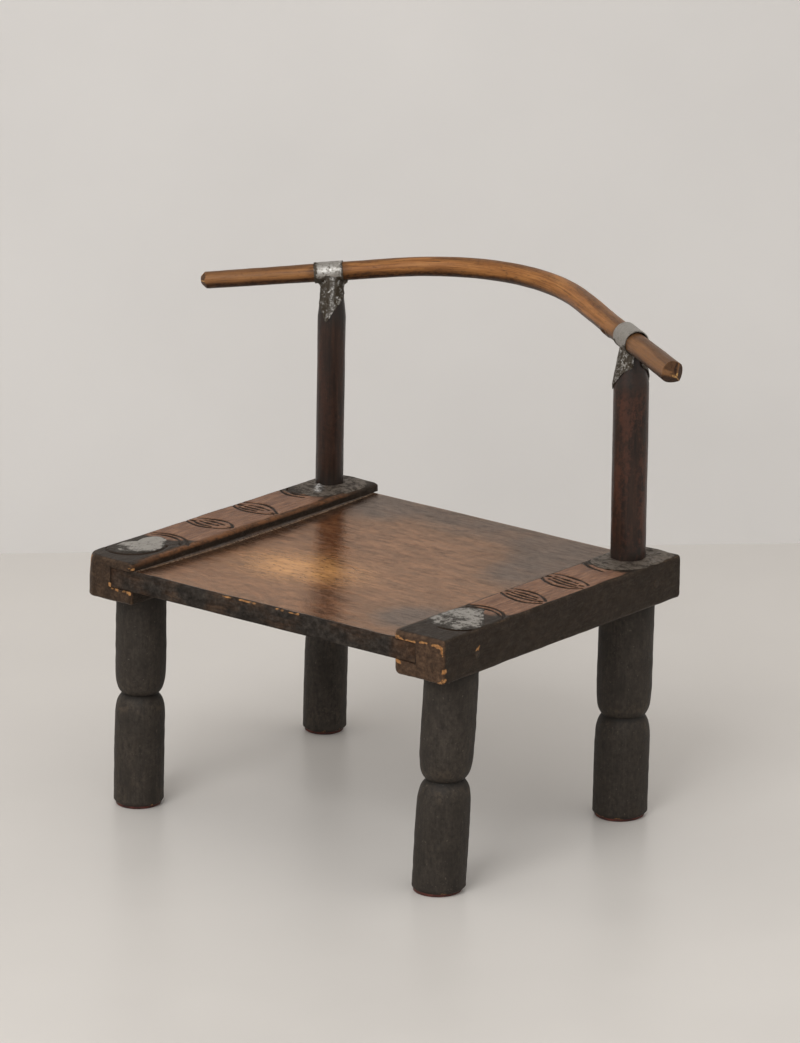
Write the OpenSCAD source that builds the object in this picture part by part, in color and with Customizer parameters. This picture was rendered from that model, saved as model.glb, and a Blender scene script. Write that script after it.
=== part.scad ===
// Low chair: a plank seat held in two grooved side rails, four carved legs,
// two back posts and one bowed rod that is strapped to the post tops with metal.
// X runs across the seat, Y from front to back, Z up from the floor.

/* [Side rails] */
// Width of the seat over the outer faces of the side rails
seat_width = 460; // [430:1:500]
// Length of the left side rail, front to back
left_rail_length = 383; // [350:1:410]
// Length of the right side rail, front to back
right_rail_length = 375; // [350:1:410]
// How much further back the left rail ends than the right rail
rail_stagger = 4; // [0:0.5:10]
// Width of each side rail
rail_width = 63; // [58:1:72]
// Height of each side rail
rail_height = 44; // [41:1:50]
// Height of the rails' top face above the floor
rail_top = 271; // [250:1:300]
// Thickness of the lip that each rail holds over the plank
lip_thickness = 8.5; // [6.5:0.5:10]
// Thickness of each rail's solid outer wall, beside the plank
web_thickness = 35; // [34:1:38]
// Bevel along the long outer edges of the rails
rail_bevel = 2.5; // [1:0.5:6]
// Width of the slope along the inner top edge of the rails
lip_slope_width = 10; // [4:1:14]
// Drop of the slope along the inner top edge of the rails
lip_slope_drop = 2.5; // [1:0.5:4]
// Bevel along the inner lower edges of the rails
rail_toe = 5; // [1:0.5:6]
// Bevel across the top and bottom of the rails' front ends
front_end_bevel = 4; // [1:0.5:6]
// Bevel across the top of the rails' rear ends
rear_end_bevel = 1.5; // [0.5:0.5:4]
// Bevel down the rails' outer corners: front ends, rear ends
corner_bevel = [5, 2]; // [1:0.5:8]
// Cut-off at the rails' lower rear corners
rear_heel = 9; // [4:1:14]

/* [Seat plank] */
// Thickness of the seat plank
plank_thickness = 21; // [17:1:24]
// Depth of the shallow hollow across the middle of the seat
seat_hollow = 4; // [1:0.5:6]
// How far the plank's front edge stands behind the front ends of the rails
plank_front_setback = 2; // [1:0.5:10]
// How far the plank's rear edge stands in front of the rear ends of the rails
plank_rear_setback = 6.5; // [1:0.5:10]

/* [Legs] */
// Diameters of the legs: front left, front right, rear left, rear right
leg_d = [51, 53, 46, 55.5]; // [44:0.5:60]
// Diameters of the leg necks: front left, front right, rear left, rear right
neck_d = [35.5, 37, 35, 42.5]; // [30:0.5:43]
// Heights of the leg necks above the floor: front left, front right, rear left, rear right
neck_height = [118, 115.5, 116, 107.5]; // [90:0.5:140]
// Length over which a neck's groove runs out into the leg
neck_fade = 7.5; // [5:0.5:14]
// Bevel round the foot of each leg
foot_bevel = 2.5; // [1:0.5:5]
// Diameter of the round tenons on the legs and posts
tenon_d = 22; // [18:0.5:24]
// Diameter of the pegs that lock the tenons
peg_d = 8; // [5:0.5:9]
// Depth of the pegs below the rails' top face: front pair
front_peg_depth = 25; // [16:1:30]
// Depth of the pegs below the rails' top face: rear pair
rear_peg_depth = 21; // [15:1:22]
// Thickness of the pads under the feet
pad_thickness = 3; // [2:0.5:6]
// How much smaller in diameter a pad is than its leg
pad_inset = 5; // [4:1:14]

/* [Leg places] */
// Distance of the mortises from the rails' outer faces: front left, front right, rear left, rear right
mortise_inset = [28.4, 31, 23, 36]; // [22:0.1:36]
// Distance of the mortises from the rails' nearer ends: front left, front right, rear left, rear right
mortise_from_end = [53, 51, 33, 41]; // [24:1:70]
// Sideways lean of the feet from their mortises: front left, front right, rear left, rear right
foot_lean_x = [-4, -10, -6, -4]; // [-12:1:12]
// Front to back lean of the feet from their mortises: front left, front right, rear left, rear right
foot_lean_y = [-4, -8, -2, -3]; // [-12:1:12]

/* [Back posts and rod] */
// Diameter of the left back post
left_post_d = 29; // [25:0.5:36]
// Diameter of the right back post
right_post_d = 35.5; // [25:0.5:40]
// Depth of the post tenons in the rails
post_tenon_length = 27; // [26:1:32]
// Sideways lean of each post's top from its foot: left, right
post_lean_x = [2.7, 1.1]; // [-4:0.1:4]
// Front to back lean of each post's top from its foot: left, right
post_lean_y = [2.2, 0.9]; // [-4:0.1:4]
// Height over which each post narrows towards the rod
post_taper_height = 46; // [30:1:60]
// Diameter of each post at the height of the rod's middle
post_tip_d = 19; // [15:0.5:22]
// Height of the rod's middle above the floor where it crosses the posts
rod_height = 496; // [440:1:560]
// Diameter of the rod at its left tip
rod_left_d = 17.8; // [14:0.1:22]
// Diameter of the rod at its right tip
rod_right_d = 24.6; // [20:0.1:28]
// Angle of the rod's left arm from the line across the seat, seen from above
left_arm_angle = 36.7; // [30:0.1:42]
// Angle of the rod's right arm from the line across the seat, seen from above
right_arm_angle = 29.6; // [22:0.1:36]
// Radius of the bend between the two arms
bend_radius = 214; // [150:1:260]
// Length of the rod beyond the left post
left_overhang = 135; // [80:1:180]
// Length of the rod beyond the right post
right_overhang = 107; // [70:1:160]
// Upward tilt of the rod towards its bend
rod_tilt = 8; // [0:0.5:14]

/* [Metalwork] */
// Width of the straps along the rod
strap_width = 30; // [20:1:36]
// Thickness of the strap metal
strap_thickness = 1.6; // [1:0.1:2.5]
// Length of the strap tails below the rod's middle
strap_tail = 51; // [42:1:66]
// Width of each strap's tails where they leave the band
strap_neck_width = 17; // [12:0.5:20]
// Greatest width of each strap's tails: left, right
strap_tail_width = [25, 31]; // [22:0.5:34]
// How far the strap tails' points lie left of the middle
strap_point_shift = 5; // [0:1:10]
// How much higher the left and right corners of a strap tail end than its point
strap_corner_rise = [18, 27]; // [10:1:30]
// Depth of the front inlays in the rails
inlay_depth = 3; // [1.5:0.5:5]
// Depth of the metal poured round the post feet
post_inlay_depth = 1.5; // [1:0.5:3]
// Length of the metal round a post foot, front to back, where the rail's end doesn't cut it short
post_inlay_length = 84; // [60:1:100]
// Height of the metal above the wood around it
metal_proud = 0.5; // [0.2:0.1:1]

/* [Fits] */
// Gap between two pieces that fit into each other
fit_gap = 0.15; // [0.1:0.05:0.3]
// Gap between the straps and the wood that they wrap
strap_gap = 0.3; // [0.2:0.05:0.5]

/* [Hidden] */

// Positions of the legs in the lists above
FRONT_LEFT = 0;
FRONT_RIGHT = 1;
REAR_LEFT = 2;
REAR_RIGHT = 3;
// Sides of the seat
LEFT = -1;
RIGHT = 1;

rear_line = 190;
rail_under = rail_top - rail_height;
groove_top = rail_top - lip_thickness;
groove_floor = groove_top - plank_thickness;
half_width = seat_width / 2;
beyond = 5;
round_steps = 48;

function side_of(leg) = leg == FRONT_LEFT || leg == REAR_LEFT ? LEFT : RIGHT;
function is_front(leg) = leg == FRONT_LEFT || leg == FRONT_RIGHT;
function left_or_right(side, pair) = side == LEFT ? pair[0] : pair[1];
function rail_length(side) = side == LEFT ? left_rail_length : right_rail_length;
function rail_rear(side) = side == LEFT ? rear_line + rail_stagger : rear_line;
function rail_front(side) = rail_rear(side) - rail_length(side);

// Mortise centres, seen from above
function mortise_x(leg) = side_of(leg) * (half_width - mortise_inset[leg]);
function mortise_y(leg) = is_front(leg)
    ? rail_front(side_of(leg)) + mortise_from_end[leg]
    : rail_rear(side_of(leg)) - mortise_from_end[leg];
function mortise_top(leg) = is_front(leg) ? rail_top - inlay_depth : rail_top - post_tenon_length;
function peg_z(leg) = rail_top - (is_front(leg) ? front_peg_depth : rear_peg_depth);

// The vector from a foot's middle on the floor to its mortise in the rail's underside
function leg_run(leg) = [-foot_lean_x[leg], -foot_lean_y[leg], rail_under];

// A wide slab between two heights
module slab(low, high) {
    reach = 2 * seat_width;
    translate([-reach / 2, -reach / 2, low]) cube([reach, reach, high - low]);
}

// Stands its children on a foot's middle and leans them along the leg
module along_leg(leg) {
    run = leg_run(leg);
    translate([mortise_x(leg), mortise_y(leg), rail_under] - run)
        rotate(a = acos(run.z / norm(run)), v = [-run.y, run.x, 0])
            children();
}

// Legs

leg_steps = [0, 0.6, 2, 4, 6.5, 10, 14, 20, 28, 40, 60];
function leg_radius(leg, away) =
    leg_d[leg] / 2 - (leg_d[leg] - neck_d[leg]) / 2 * exp(-abs(away) / neck_fade);

module leg_outline(leg) {
    top = rail_under + 2 * beyond;
    bevel_top = pad_thickness + foot_bevel;
    below = [for (i = [len(leg_steps) - 1 : -1 : 1]) -leg_steps[i]];
    profile = [for (away = concat(below, leg_steps)) [leg_radius(leg, away), neck_height[leg] + away]];
    full = leg_radius(leg, leg_steps[len(leg_steps) - 1]);
    polygon(concat(
        [[0, -beyond], [full - foot_bevel, -beyond], [full - foot_bevel, pad_thickness], [full, bevel_top]],
        profile,
        [[leg_d[leg] / 2, top], [0, top]]
    ));
}

module leg(leg) {
    difference() {
        union() {
            intersection() {
                along_leg(leg) rotate_extrude($fn = round_steps) leg_outline(leg);
                slab(pad_thickness, rail_under);
            }
            intersection() {
                along_leg(leg) cylinder(d = tenon_d, h = rail_top + beyond, $fn = round_steps);
                slab(rail_under - beyond, mortise_top(leg) - fit_gap);
            }
        }
        if (is_front(leg)) peg_hole(leg);
    }
}

module front_left_leg() color("#36322d") in_place() leg(FRONT_LEFT);
module front_right_leg() color("#36322d") in_place() leg(FRONT_RIGHT);
module rear_left_leg() color("#36322d") in_place() leg(REAR_LEFT);
module rear_right_leg() color("#36322d") in_place() leg(REAR_RIGHT);

module mortise(leg) {
    intersection() {
        along_leg(leg) cylinder(d = tenon_d + 2 * fit_gap, h = rail_top + beyond, $fn = round_steps);
        slab(rail_under - beyond, mortise_top(leg));
    }
}

// Pads under the feet

module foot_pad(leg) {
    translate([mortise_x(leg) + foot_lean_x[leg], mortise_y(leg) + foot_lean_y[leg], 0])
        cylinder(d = leg_d[leg] - pad_inset, h = pad_thickness, $fn = round_steps);
}

module front_left_foot_pad() color("#4a2a22") in_place() foot_pad(FRONT_LEFT);
module front_right_foot_pad() color("#4a2a22") in_place() foot_pad(FRONT_RIGHT);
module rear_left_foot_pad() color("#4a2a22") in_place() foot_pad(REAR_LEFT);
module rear_right_foot_pad() color("#4a2a22") in_place() foot_pad(REAR_RIGHT);

// Pegs run in from the rail's outer face, through the tenon and on past its middle

peg_past_middle = 6;
function peg_length(leg) = mortise_inset[leg] + peg_past_middle;

module peg_bar(leg, diameter, past_tip, past_face) {
    side = side_of(leg);
    translate([side * (half_width + past_face), mortise_y(leg), peg_z(leg)])
        rotate([0, -side * 90, 0])
            cylinder(d = diameter, h = peg_length(leg) + past_tip + past_face, $fn = round_steps);
}

module peg_hole(leg) peg_bar(leg, peg_d + 2 * fit_gap, fit_gap, beyond);
module peg(leg) peg_bar(leg, peg_d, 0, 0);

module front_left_peg() color("#5a4030") in_place() peg(FRONT_LEFT);
module front_right_peg() color("#5a4030") in_place() peg(FRONT_RIGHT);
module rear_left_peg() color("#5a4030") in_place() peg(REAR_LEFT);
module rear_right_peg() color("#5a4030") in_place() peg(REAR_RIGHT);

// Seat plank: its front and rear edges follow the ends of the two rails

plank_half = half_width - web_thickness;

function plank_front(side) = rail_front(side) + plank_front_setback;
function plank_rear(side) = rail_rear(side) - plank_rear_setback;

module plank_outline() {
    half = plank_half - fit_gap;
    polygon([
        [-half, plank_front(LEFT)],
        [half, plank_front(RIGHT)],
        [half, plank_rear(RIGHT)],
        [-half, plank_rear(LEFT)]
    ]);
}

// The hollow is a shallow parabola between the level strips along the two edges
hollow_steps = 16;
level_strip = 8;
module plank_side_view() {
    front = min(plank_front(LEFT), plank_front(RIGHT));
    rear = max(plank_rear(LEFT), plank_rear(RIGHT));
    middle = (front + rear) / 2;
    half_run = rear - level_strip - middle;
    hollow = [for (i = [-hollow_steps / 2 : hollow_steps / 2])
        let (t = 2 * i / hollow_steps)
        [middle + t * half_run, groove_top - seat_hollow * (1 - t * t)]];
    polygon(concat(
        [[front, groove_floor], [front, groove_top]],
        hollow,
        [[rear, groove_top], [rear, groove_floor]]
    ));
}

module seat_plank_shape() {
    difference() {
        intersection() {
            translate([0, 0, groove_floor]) linear_extrude(plank_thickness) plank_outline();
            rotate([90, 0, 90]) linear_extrude(seat_width, center = true) plank_side_view();
        }
        for (leg = [FRONT_LEFT, FRONT_RIGHT, REAR_LEFT, REAR_RIGHT]) mortise(leg);
        for (side = [LEFT, RIGHT]) post_socket(side);
    }
}

module seat_plank() color("#8a6a50") in_place() seat_plank_shape();

// Side rails

module rail_section(side) {
    // Across the rail, from its outer face inwards, and up from its underside
    points = [
        [rail_bevel, 0],
        [rail_width - rail_toe, 0],
        [rail_width, rail_toe],
        [rail_width, rail_height - lip_slope_drop],
        [rail_width - lip_slope_width, rail_height],
        [rail_bevel, rail_height],
        [0, rail_height - rail_bevel],
        [0, rail_bevel]
    ];
    polygon([for (p = points) [side * (half_width - p.x), rail_under + p.y]]);
}

module rail_side_view(side) {
    front = rail_front(side);
    rear = rail_rear(side);
    polygon([
        [front + front_end_bevel, rail_top],
        [front, rail_top - front_end_bevel],
        [front, rail_under + front_end_bevel],
        [front + front_end_bevel, rail_under],
        [rear - rear_heel, rail_under],
        [rear, rail_under + rear_heel],
        [rear, rail_top - rear_end_bevel],
        [rear - rear_end_bevel, rail_top]
    ]);
}

module rail_top_view(side) {
    front = rail_front(side);
    rear = rail_rear(side);
    points = [
        [0, front],
        [half_width - corner_bevel[0], front],
        [half_width, front + corner_bevel[0]],
        [half_width, rear - corner_bevel[1]],
        [half_width - corner_bevel[1], rear],
        [0, rear]
    ];
    polygon([for (p = points) [side * p.x, p.y]]);
}

module rail(side) {
    long = 2 * (left_rail_length + right_rail_length);
    legs = side == LEFT ? [FRONT_LEFT, REAR_LEFT] : [FRONT_RIGHT, REAR_RIGHT];
    difference() {
        intersection() {
            translate([0, long / 2, 0]) rotate([90, 0, 0]) linear_extrude(long) rail_section(side);
            rotate([90, 0, 90]) linear_extrude(4 * seat_width, center = true) rail_side_view(side);
            linear_extrude(2 * rail_top) rail_top_view(side);
        }
        // The groove that takes the plank's edge
        translate([side == LEFT ? -plank_half : 0, -long / 2, groove_floor])
            cube([plank_half, long, plank_thickness]);
        for (leg = legs) {
            mortise(leg);
            peg_hole(leg);
        }
        post_socket(side);
        front_inlay_shape(side, fit_gap);
        post_inlay_blank(side, fit_gap, post_inlay_depth + beyond);
    }
}

module left_side_rail() color("#6b4a3a") in_place() rail(LEFT);
module right_side_rail() color("#6b4a3a") in_place() rail(RIGHT);

// Rod: two straight arms over the post tops, joined by one bend.
// The arms' lines meet at the corner, seen from above.

function post_leg(side) = side == LEFT ? REAR_LEFT : REAR_RIGHT;
function post_x(side) = mortise_x(post_leg(side));
function post_y(side) = mortise_y(post_leg(side));
function post_d(side) = side == LEFT ? left_post_d : right_post_d;

left_way = [cos(left_arm_angle), sin(left_arm_angle)];
right_way = [cos(right_arm_angle), -sin(right_arm_angle)];
across = [post_x(RIGHT) - post_x(LEFT), post_y(RIGHT) - post_y(LEFT)];
way_cross = left_way.x * right_way.y - left_way.y * right_way.x;
left_to_corner = (across.x * right_way.y - across.y * right_way.x) / way_cross;
right_to_corner = (across.x * left_way.y - across.y * left_way.x) / -way_cross;
bend_angle = left_arm_angle + right_arm_angle;
bend_tangent = bend_radius * tan(bend_angle / 2);
left_straight = left_overhang + left_to_corner - bend_tangent;
right_straight = right_overhang + right_to_corner - bend_tangent;
bend_length = bend_radius * bend_angle * PI / 180;
rod_length = left_straight + bend_length + right_straight;
left_tip = [post_x(LEFT), post_y(LEFT)] - left_overhang * left_way;
bend_start = left_tip + left_straight * left_way;
bend_middle = bend_start + bend_radius * [left_way.y, -left_way.x];
bend_end = bend_middle + bend_radius * [-right_way.y, right_way.x];
post_line_y = (post_y(LEFT) + post_y(RIGHT)) / 2;

// Direction and place of the rod's middle line at a run along it, seen from above
function rod_angle(run) =
    run < left_straight ? left_arm_angle
    : run > left_straight + bend_length ? -right_arm_angle
    : left_arm_angle - (run - left_straight) / bend_length * bend_angle;
function rod_plan(run) =
    run < left_straight ? left_tip + run * left_way
    : run > left_straight + bend_length ? bend_end + (run - left_straight - bend_length) * right_way
    : bend_middle + bend_radius * [-sin(rod_angle(run)), cos(rod_angle(run))];
function rod_z(y) = rod_height + tan(rod_tilt) * (y - post_line_y);
function rod_point(run) = [rod_plan(run).x, rod_plan(run).y, rod_z(rod_plan(run).y)];
function rod_slope(angle) = tan(rod_tilt) * sin(angle);
function rod_r(run) = (rod_left_d + (rod_right_d - rod_left_d) * run / rod_length) / 2;
function post_run(side) = side == LEFT ? left_overhang : rod_length - right_overhang;

rod_sides = 20;
bend_rings = 16;
tip_run = 9;
// Share of the full radius at a few runs in from each tip
tip_runs = [0, 4, tip_run];
tip_share = [0.42, 0.74, 1];

function rod_ring(run, share) =
    let (
        a = rod_angle(run),
        forward = [cos(a), sin(a), rod_slope(a)] / norm([1, rod_slope(a)]),
        aside = [-sin(a), cos(a), 0],
        up = cross(forward, aside),
        middle = rod_point(run),
        r = rod_r(run) * share
    )
    [for (i = [0 : rod_sides - 1])
        middle + r * (cos(i * 360 / rod_sides) * aside + sin(i * 360 / rod_sides) * up)];

rod_stations = concat(
    [for (i = [0 : len(tip_runs) - 1]) [tip_runs[i], tip_share[i]]],
    [for (i = [0 : bend_rings]) [left_straight + bend_length * i / bend_rings, 1]],
    [for (i = [len(tip_runs) - 1 : -1 : 0]) [rod_length - tip_runs[i], tip_share[i]]]
);

rod_points = [for (s = rod_stations) each rod_ring(s[0], s[1])];

// The origin lies on the floor under the middle of the whole chair's box,
// so everything is drawn round the seat and moved from that box's middle
reach_x = concat([-half_width, half_width], [for (p = rod_points) p.x]);
reach_y = concat(
    [for (side = [LEFT, RIGHT]) each [rail_front(side), rail_rear(side)]],
    [for (p = rod_points) p.y]
);
box_middle = [(min(reach_x) + max(reach_x)) / 2, (min(reach_y) + max(reach_y)) / 2];
module in_place() translate([-box_middle.x, -box_middle.y, 0]) children();

module rod_shape() {
    rings = len(rod_stations);
    walls = [for (k = [0 : rings - 2], i = [0 : rod_sides - 1])
        let (j = (i + 1) % rod_sides, low = k * rod_sides, high = low + rod_sides)
        each [[low + i, high + j, low + j], [low + i, high + i, high + j]]];
    first = [for (i = [0 : rod_sides - 1]) i];
    last = [for (i = [rod_sides - 1 : -1 : 0]) (rings - 1) * rod_sides + i];
    polyhedron(points = rod_points, faces = concat([first, last], walls));
}

module backrest_rod() color("#8a5a35") in_place() rod_shape();

// Back posts

// Stands its children at the rod's middle over a post, with X along the rod seen from above
module at_strap(side) {
    run = post_run(side);
    translate(rod_point(run)) rotate([0, 0, rod_angle(run)]) children();
}

module strap_bar(side, radius, length) {
    at_strap(side)
        rotate([0, 90 - atan(rod_slope(rod_angle(post_run(side)))), 0])
            cylinder(r = radius, h = length, center = true, $fn = round_steps);
}

function strap_bore_r(side) = rod_r(post_run(side)) + strap_gap;
function strap_outer_r(side) = strap_bore_r(side) + strap_thickness;
function cut_length(side) = 2 * (post_d(side) + strap_width);

// The foot of each post goes down through the metal round it and stands on the wood
post_foot = rail_top - post_inlay_depth;

// The vector from the middle of a post's foot to its top under the rod
function post_rise(side) = [
    left_or_right(side, post_lean_x),
    left_or_right(side, post_lean_y),
    rod_point(post_run(side)).z - post_foot
];

module post_body(side, grow) {
    rise = post_rise(side);
    radius = post_d(side) / 2 + grow;
    intersection() {
        translate([post_x(side), post_y(side), post_foot])
            rotate(a = acos(rise.z / norm(rise)), v = [-rise.y, rise.x, 0])
                rotate_extrude($fn = round_steps)
                    polygon([
                        [0, -beyond],
                        [radius, -beyond],
                        [radius, rise.z - post_taper_height - grow],
                        [post_tip_d / 2 + grow, rise.z],
                        [0, rise.z]
                    ]);
        slab(post_foot, 2 * rod_height);
    }
}

module post(side) {
    difference() {
        union() {
            post_body(side, 0);
            translate([post_x(side), post_y(side), rail_top - post_tenon_length + fit_gap])
                cylinder(d = tenon_d, h = post_tenon_length + beyond, $fn = round_steps);
        }
        strap_bar(side, strap_outer_r(side) + fit_gap, cut_length(side));
        peg_hole(post_leg(side));
    }
}

module post_socket(side) {
    translate([post_x(side), post_y(side), 0]) {
        translate([0, 0, rail_top - post_tenon_length])
            cylinder(d = tenon_d + 2 * fit_gap, h = post_tenon_length + beyond, $fn = round_steps);
        translate([0, 0, post_foot])
            cylinder(d = post_d(side) + 2 * fit_gap, h = post_inlay_depth + beyond, $fn = round_steps);
    }
}

module left_back_post() color("#3a2620") in_place() post(LEFT);
module right_back_post() color("#3a2620") in_place() post(RIGHT);

// Straps: a band round the rod and two pointed tails down the post

module strap_tail_outline(side) {
    neck = strap_neck_width / 2;
    half = left_or_right(side, strap_tail_width) / 2;
    polygon([
        [-neck, 0],
        [-half, strap_corner_rise[0] - strap_tail],
        [-strap_point_shift, -strap_tail],
        [half, strap_corner_rise[1] - strap_tail],
        [neck, 0]
    ]);
}

module strap(side) {
    difference() {
        union() {
            strap_bar(side, strap_outer_r(side), strap_width);
            intersection() {
                difference() {
                    post_body(side, strap_gap + strap_thickness);
                    post_body(side, strap_gap);
                }
                at_strap(side)
                    rotate([90, 0, 0])
                        linear_extrude(cut_length(side), center = true) strap_tail_outline(side);
            }
        }
        strap_bar(side, strap_bore_r(side), cut_length(side));
    }
}

module left_rod_strap() color("#a9a9a4") in_place() strap(LEFT);
module right_rod_strap() color("#a9a9a4") in_place() strap(RIGHT);

// Front inlays: two overlapping rounds let into each rail over the leg tenon.
// Each round is [across from the tenon, back from the tenon, radius].

left_inlay_rounds = [[-3, -10, 22], [-2, 17, 20]];
right_inlay_rounds = [[0, 8, 27.5], [-4, 34, 21]];

module front_inlay_shape(side, grow) {
    leg = side == LEFT ? FRONT_LEFT : FRONT_RIGHT;
    rounds = side == LEFT ? left_inlay_rounds : right_inlay_rounds;
    height = inlay_depth + (grow > 0 ? beyond : metal_proud);
    translate([mortise_x(leg), mortise_y(leg), rail_top - inlay_depth])
        for (disc = rounds)
            translate([disc[0], disc[1], 0])
                cylinder(r = disc[2] + grow, h = height, $fn = round_steps);
}

module left_front_inlay() color("#b4b4b0") in_place() front_inlay_shape(LEFT, 0);
module right_front_inlay() color("#b4b4b0") in_place() front_inlay_shape(RIGHT, 0);

// Metal poured round the foot of each post, cut off straight at the rail's sides and rear end

inlay_margin = 2;
inlay_on_slope = 4;
inlay_round = 42;
module post_inlay_blank(side, grow, height) {
    outer = half_width - rail_bevel - inlay_margin;
    inner = half_width - rail_width + lip_slope_width - inlay_on_slope;
    front = post_y(side) - post_inlay_length / 2;
    rear = min(post_y(side) + post_inlay_length / 2, rail_rear(side) - rear_end_bevel - inlay_margin);
    base = rail_top - post_inlay_depth;
    intersection() {
        translate([side * (outer + inner) / 2, (front + rear) / 2, base + height / 2])
            cube([outer - inner + 2 * grow, rear - front + 2 * grow, height], center = true);
        translate([post_x(side), post_y(side), base])
            cylinder(r = inlay_round + grow, h = height, $fn = round_steps);
    }
}

module post_inlay(side) {
    difference() {
        post_inlay_blank(side, 0, post_inlay_depth + metal_proud);
        translate([post_x(side), post_y(side), 0])
            cylinder(d = post_d(side) + 2 * fit_gap, h = 2 * rail_top, $fn = round_steps);
    }
}

module left_post_inlay() color("#6b6a66") in_place() post_inlay(LEFT);
module right_post_inlay() color("#6b6a66") in_place() post_inlay(RIGHT);

seat_plank();
left_side_rail();
right_side_rail();
front_left_leg();
front_right_leg();
rear_left_leg();
rear_right_leg();
left_back_post();
right_back_post();
backrest_rod();
left_rod_strap();
right_rod_strap();
left_front_inlay();
right_front_inlay();
left_post_inlay();
right_post_inlay();
front_left_peg();
front_right_peg();
rear_left_peg();
rear_right_peg();
front_left_foot_pad();
front_right_foot_pad();
rear_left_foot_pad();
rear_right_foot_pad();
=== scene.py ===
# %% [markdown]
# # A low carved chair
# The chair is a thick plank held between two grooved rails, on four cut legs. Two posts stand on the
# rear of the rails and carry a bowed rod, which is strapped to them with soft metal. Everything was
# shaped by hand with an adze and a knife, so nothing is quite straight, round or flat.
#
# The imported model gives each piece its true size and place. Each cell below rebuilds one of them with
# the tool marks, worn edges and carving that the plain solid leaves out, and stands it in the same place.

# %% The frame and the units
import math

import bmesh
import bpy
import numpy as np
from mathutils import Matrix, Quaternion, Vector, noise


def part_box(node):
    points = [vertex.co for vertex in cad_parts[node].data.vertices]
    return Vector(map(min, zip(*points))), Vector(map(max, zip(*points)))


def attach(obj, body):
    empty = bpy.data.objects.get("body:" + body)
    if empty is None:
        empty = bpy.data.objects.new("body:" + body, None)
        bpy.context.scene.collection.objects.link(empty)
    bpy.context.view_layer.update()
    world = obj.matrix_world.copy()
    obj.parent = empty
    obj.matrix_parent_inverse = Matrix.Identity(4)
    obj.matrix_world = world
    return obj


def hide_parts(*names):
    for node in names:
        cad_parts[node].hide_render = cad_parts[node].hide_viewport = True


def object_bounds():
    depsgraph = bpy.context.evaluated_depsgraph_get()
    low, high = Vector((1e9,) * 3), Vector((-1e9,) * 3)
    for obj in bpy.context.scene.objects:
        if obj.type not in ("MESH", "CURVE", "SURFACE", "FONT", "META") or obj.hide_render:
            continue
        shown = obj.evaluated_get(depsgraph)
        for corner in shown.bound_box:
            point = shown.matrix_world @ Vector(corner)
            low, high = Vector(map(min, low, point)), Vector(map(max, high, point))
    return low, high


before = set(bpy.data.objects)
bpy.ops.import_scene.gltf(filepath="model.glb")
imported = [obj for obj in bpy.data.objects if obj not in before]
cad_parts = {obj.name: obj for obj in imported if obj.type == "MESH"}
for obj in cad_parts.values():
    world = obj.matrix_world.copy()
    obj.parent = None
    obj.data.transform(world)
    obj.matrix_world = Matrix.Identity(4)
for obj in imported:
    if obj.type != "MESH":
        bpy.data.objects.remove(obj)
cad_low, cad_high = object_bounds()
MM = 0.001
BODY = "root"
print("frame", len(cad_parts), "nodes, box", [round(v, 4) for v in (*cad_low, *cad_high)])

# %% [markdown]
# ## Measuring the frame
# The chair's pieces lean and sit a little unevenly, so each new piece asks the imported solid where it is:
# a corner of its box, or the middle and the radius of a round leg at some height.

# %% Measuring helpers, all in millimetres


def box_of(node):
    """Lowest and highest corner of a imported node."""
    low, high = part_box(node)
    return np.array(low) / MM, np.array(high) / MM


def read_vertices(piece, what="co"):
    """Three numbers for each vertex, as the mesh keeps them: its place or its normal."""
    found = np.empty(len(piece.data.vertices) * 3)
    piece.data.vertices.foreach_get(what, found)
    return found.reshape(-1, 3)


def points_of(piece):
    return read_vertices(piece) / MM


def ring_of(node, height, band=0.2):
    """Middle and radius of a round solid at a height where it has a ring of vertices."""
    points = points_of(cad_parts[node])
    gap = np.abs(points[:, 2] - height)
    ring = points[gap < gap.min() + band]
    low, high = ring.min(0), ring.max(0)
    return (low + high) / 2, float((high - low)[:2].mean() / 2)


def reach_at_end(node, end):
    """How far a solid reaches to the front and to the rear at one end: -1 is its left, 1 its right."""
    points = points_of(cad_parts[node])
    from_end = np.abs(points[:, 0] - (points[:, 0].min() if end < 0 else points[:, 0].max()))
    strip = points[from_end < 1.0, 1]
    return float(strip.min()), float(strip.max())


plank_low, plank_high = box_of("seat_plank")
print("plank", np.round(plank_low, 1), np.round(plank_high, 1))

# %% [markdown]
# ## Starting and cutting a piece
# A piece starts as a primitive at its size and place. It then needs many small faces before it can be
# worn and carved. Loop cuts need a window, so the long edges are picked by their direction and cut with
# subdivide, which gives the same even strips.

# %% Starting and cutting helpers


def only(piece):
    """Makes piece the one selected and active object."""
    bpy.ops.object.select_all(action="DESELECT")
    piece.select_set(True)
    bpy.context.view_layer.objects.active = piece


def start_block(name, low, high):
    """A cube primitive at the size and place of a box."""
    bpy.ops.object.select_all(action="DESELECT")
    low, high = np.array(low), np.array(high)
    bpy.ops.mesh.primitive_cube_add(size=1, location=(low + high) / 2 * MM, scale=(high - low) * MM)
    bpy.ops.object.transform_apply(location=True, rotation=True, scale=True)
    bpy.context.object.name = name
    return bpy.context.object


def start_bar(name, radius, low, high, sides, ends="NGON"):
    """An upright cylinder primitive round the Z axis, between two heights."""
    bpy.ops.object.select_all(action="DESELECT")
    bpy.ops.mesh.primitive_cylinder_add(
        vertices=sides, radius=radius * MM, depth=(high - low) * MM,
        end_fill_type=ends, location=(0, 0, (low + high) / 2 * MM))
    bpy.ops.object.transform_apply(location=True, rotation=True, scale=True)
    bpy.context.object.name = name
    return bpy.context.object


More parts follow.
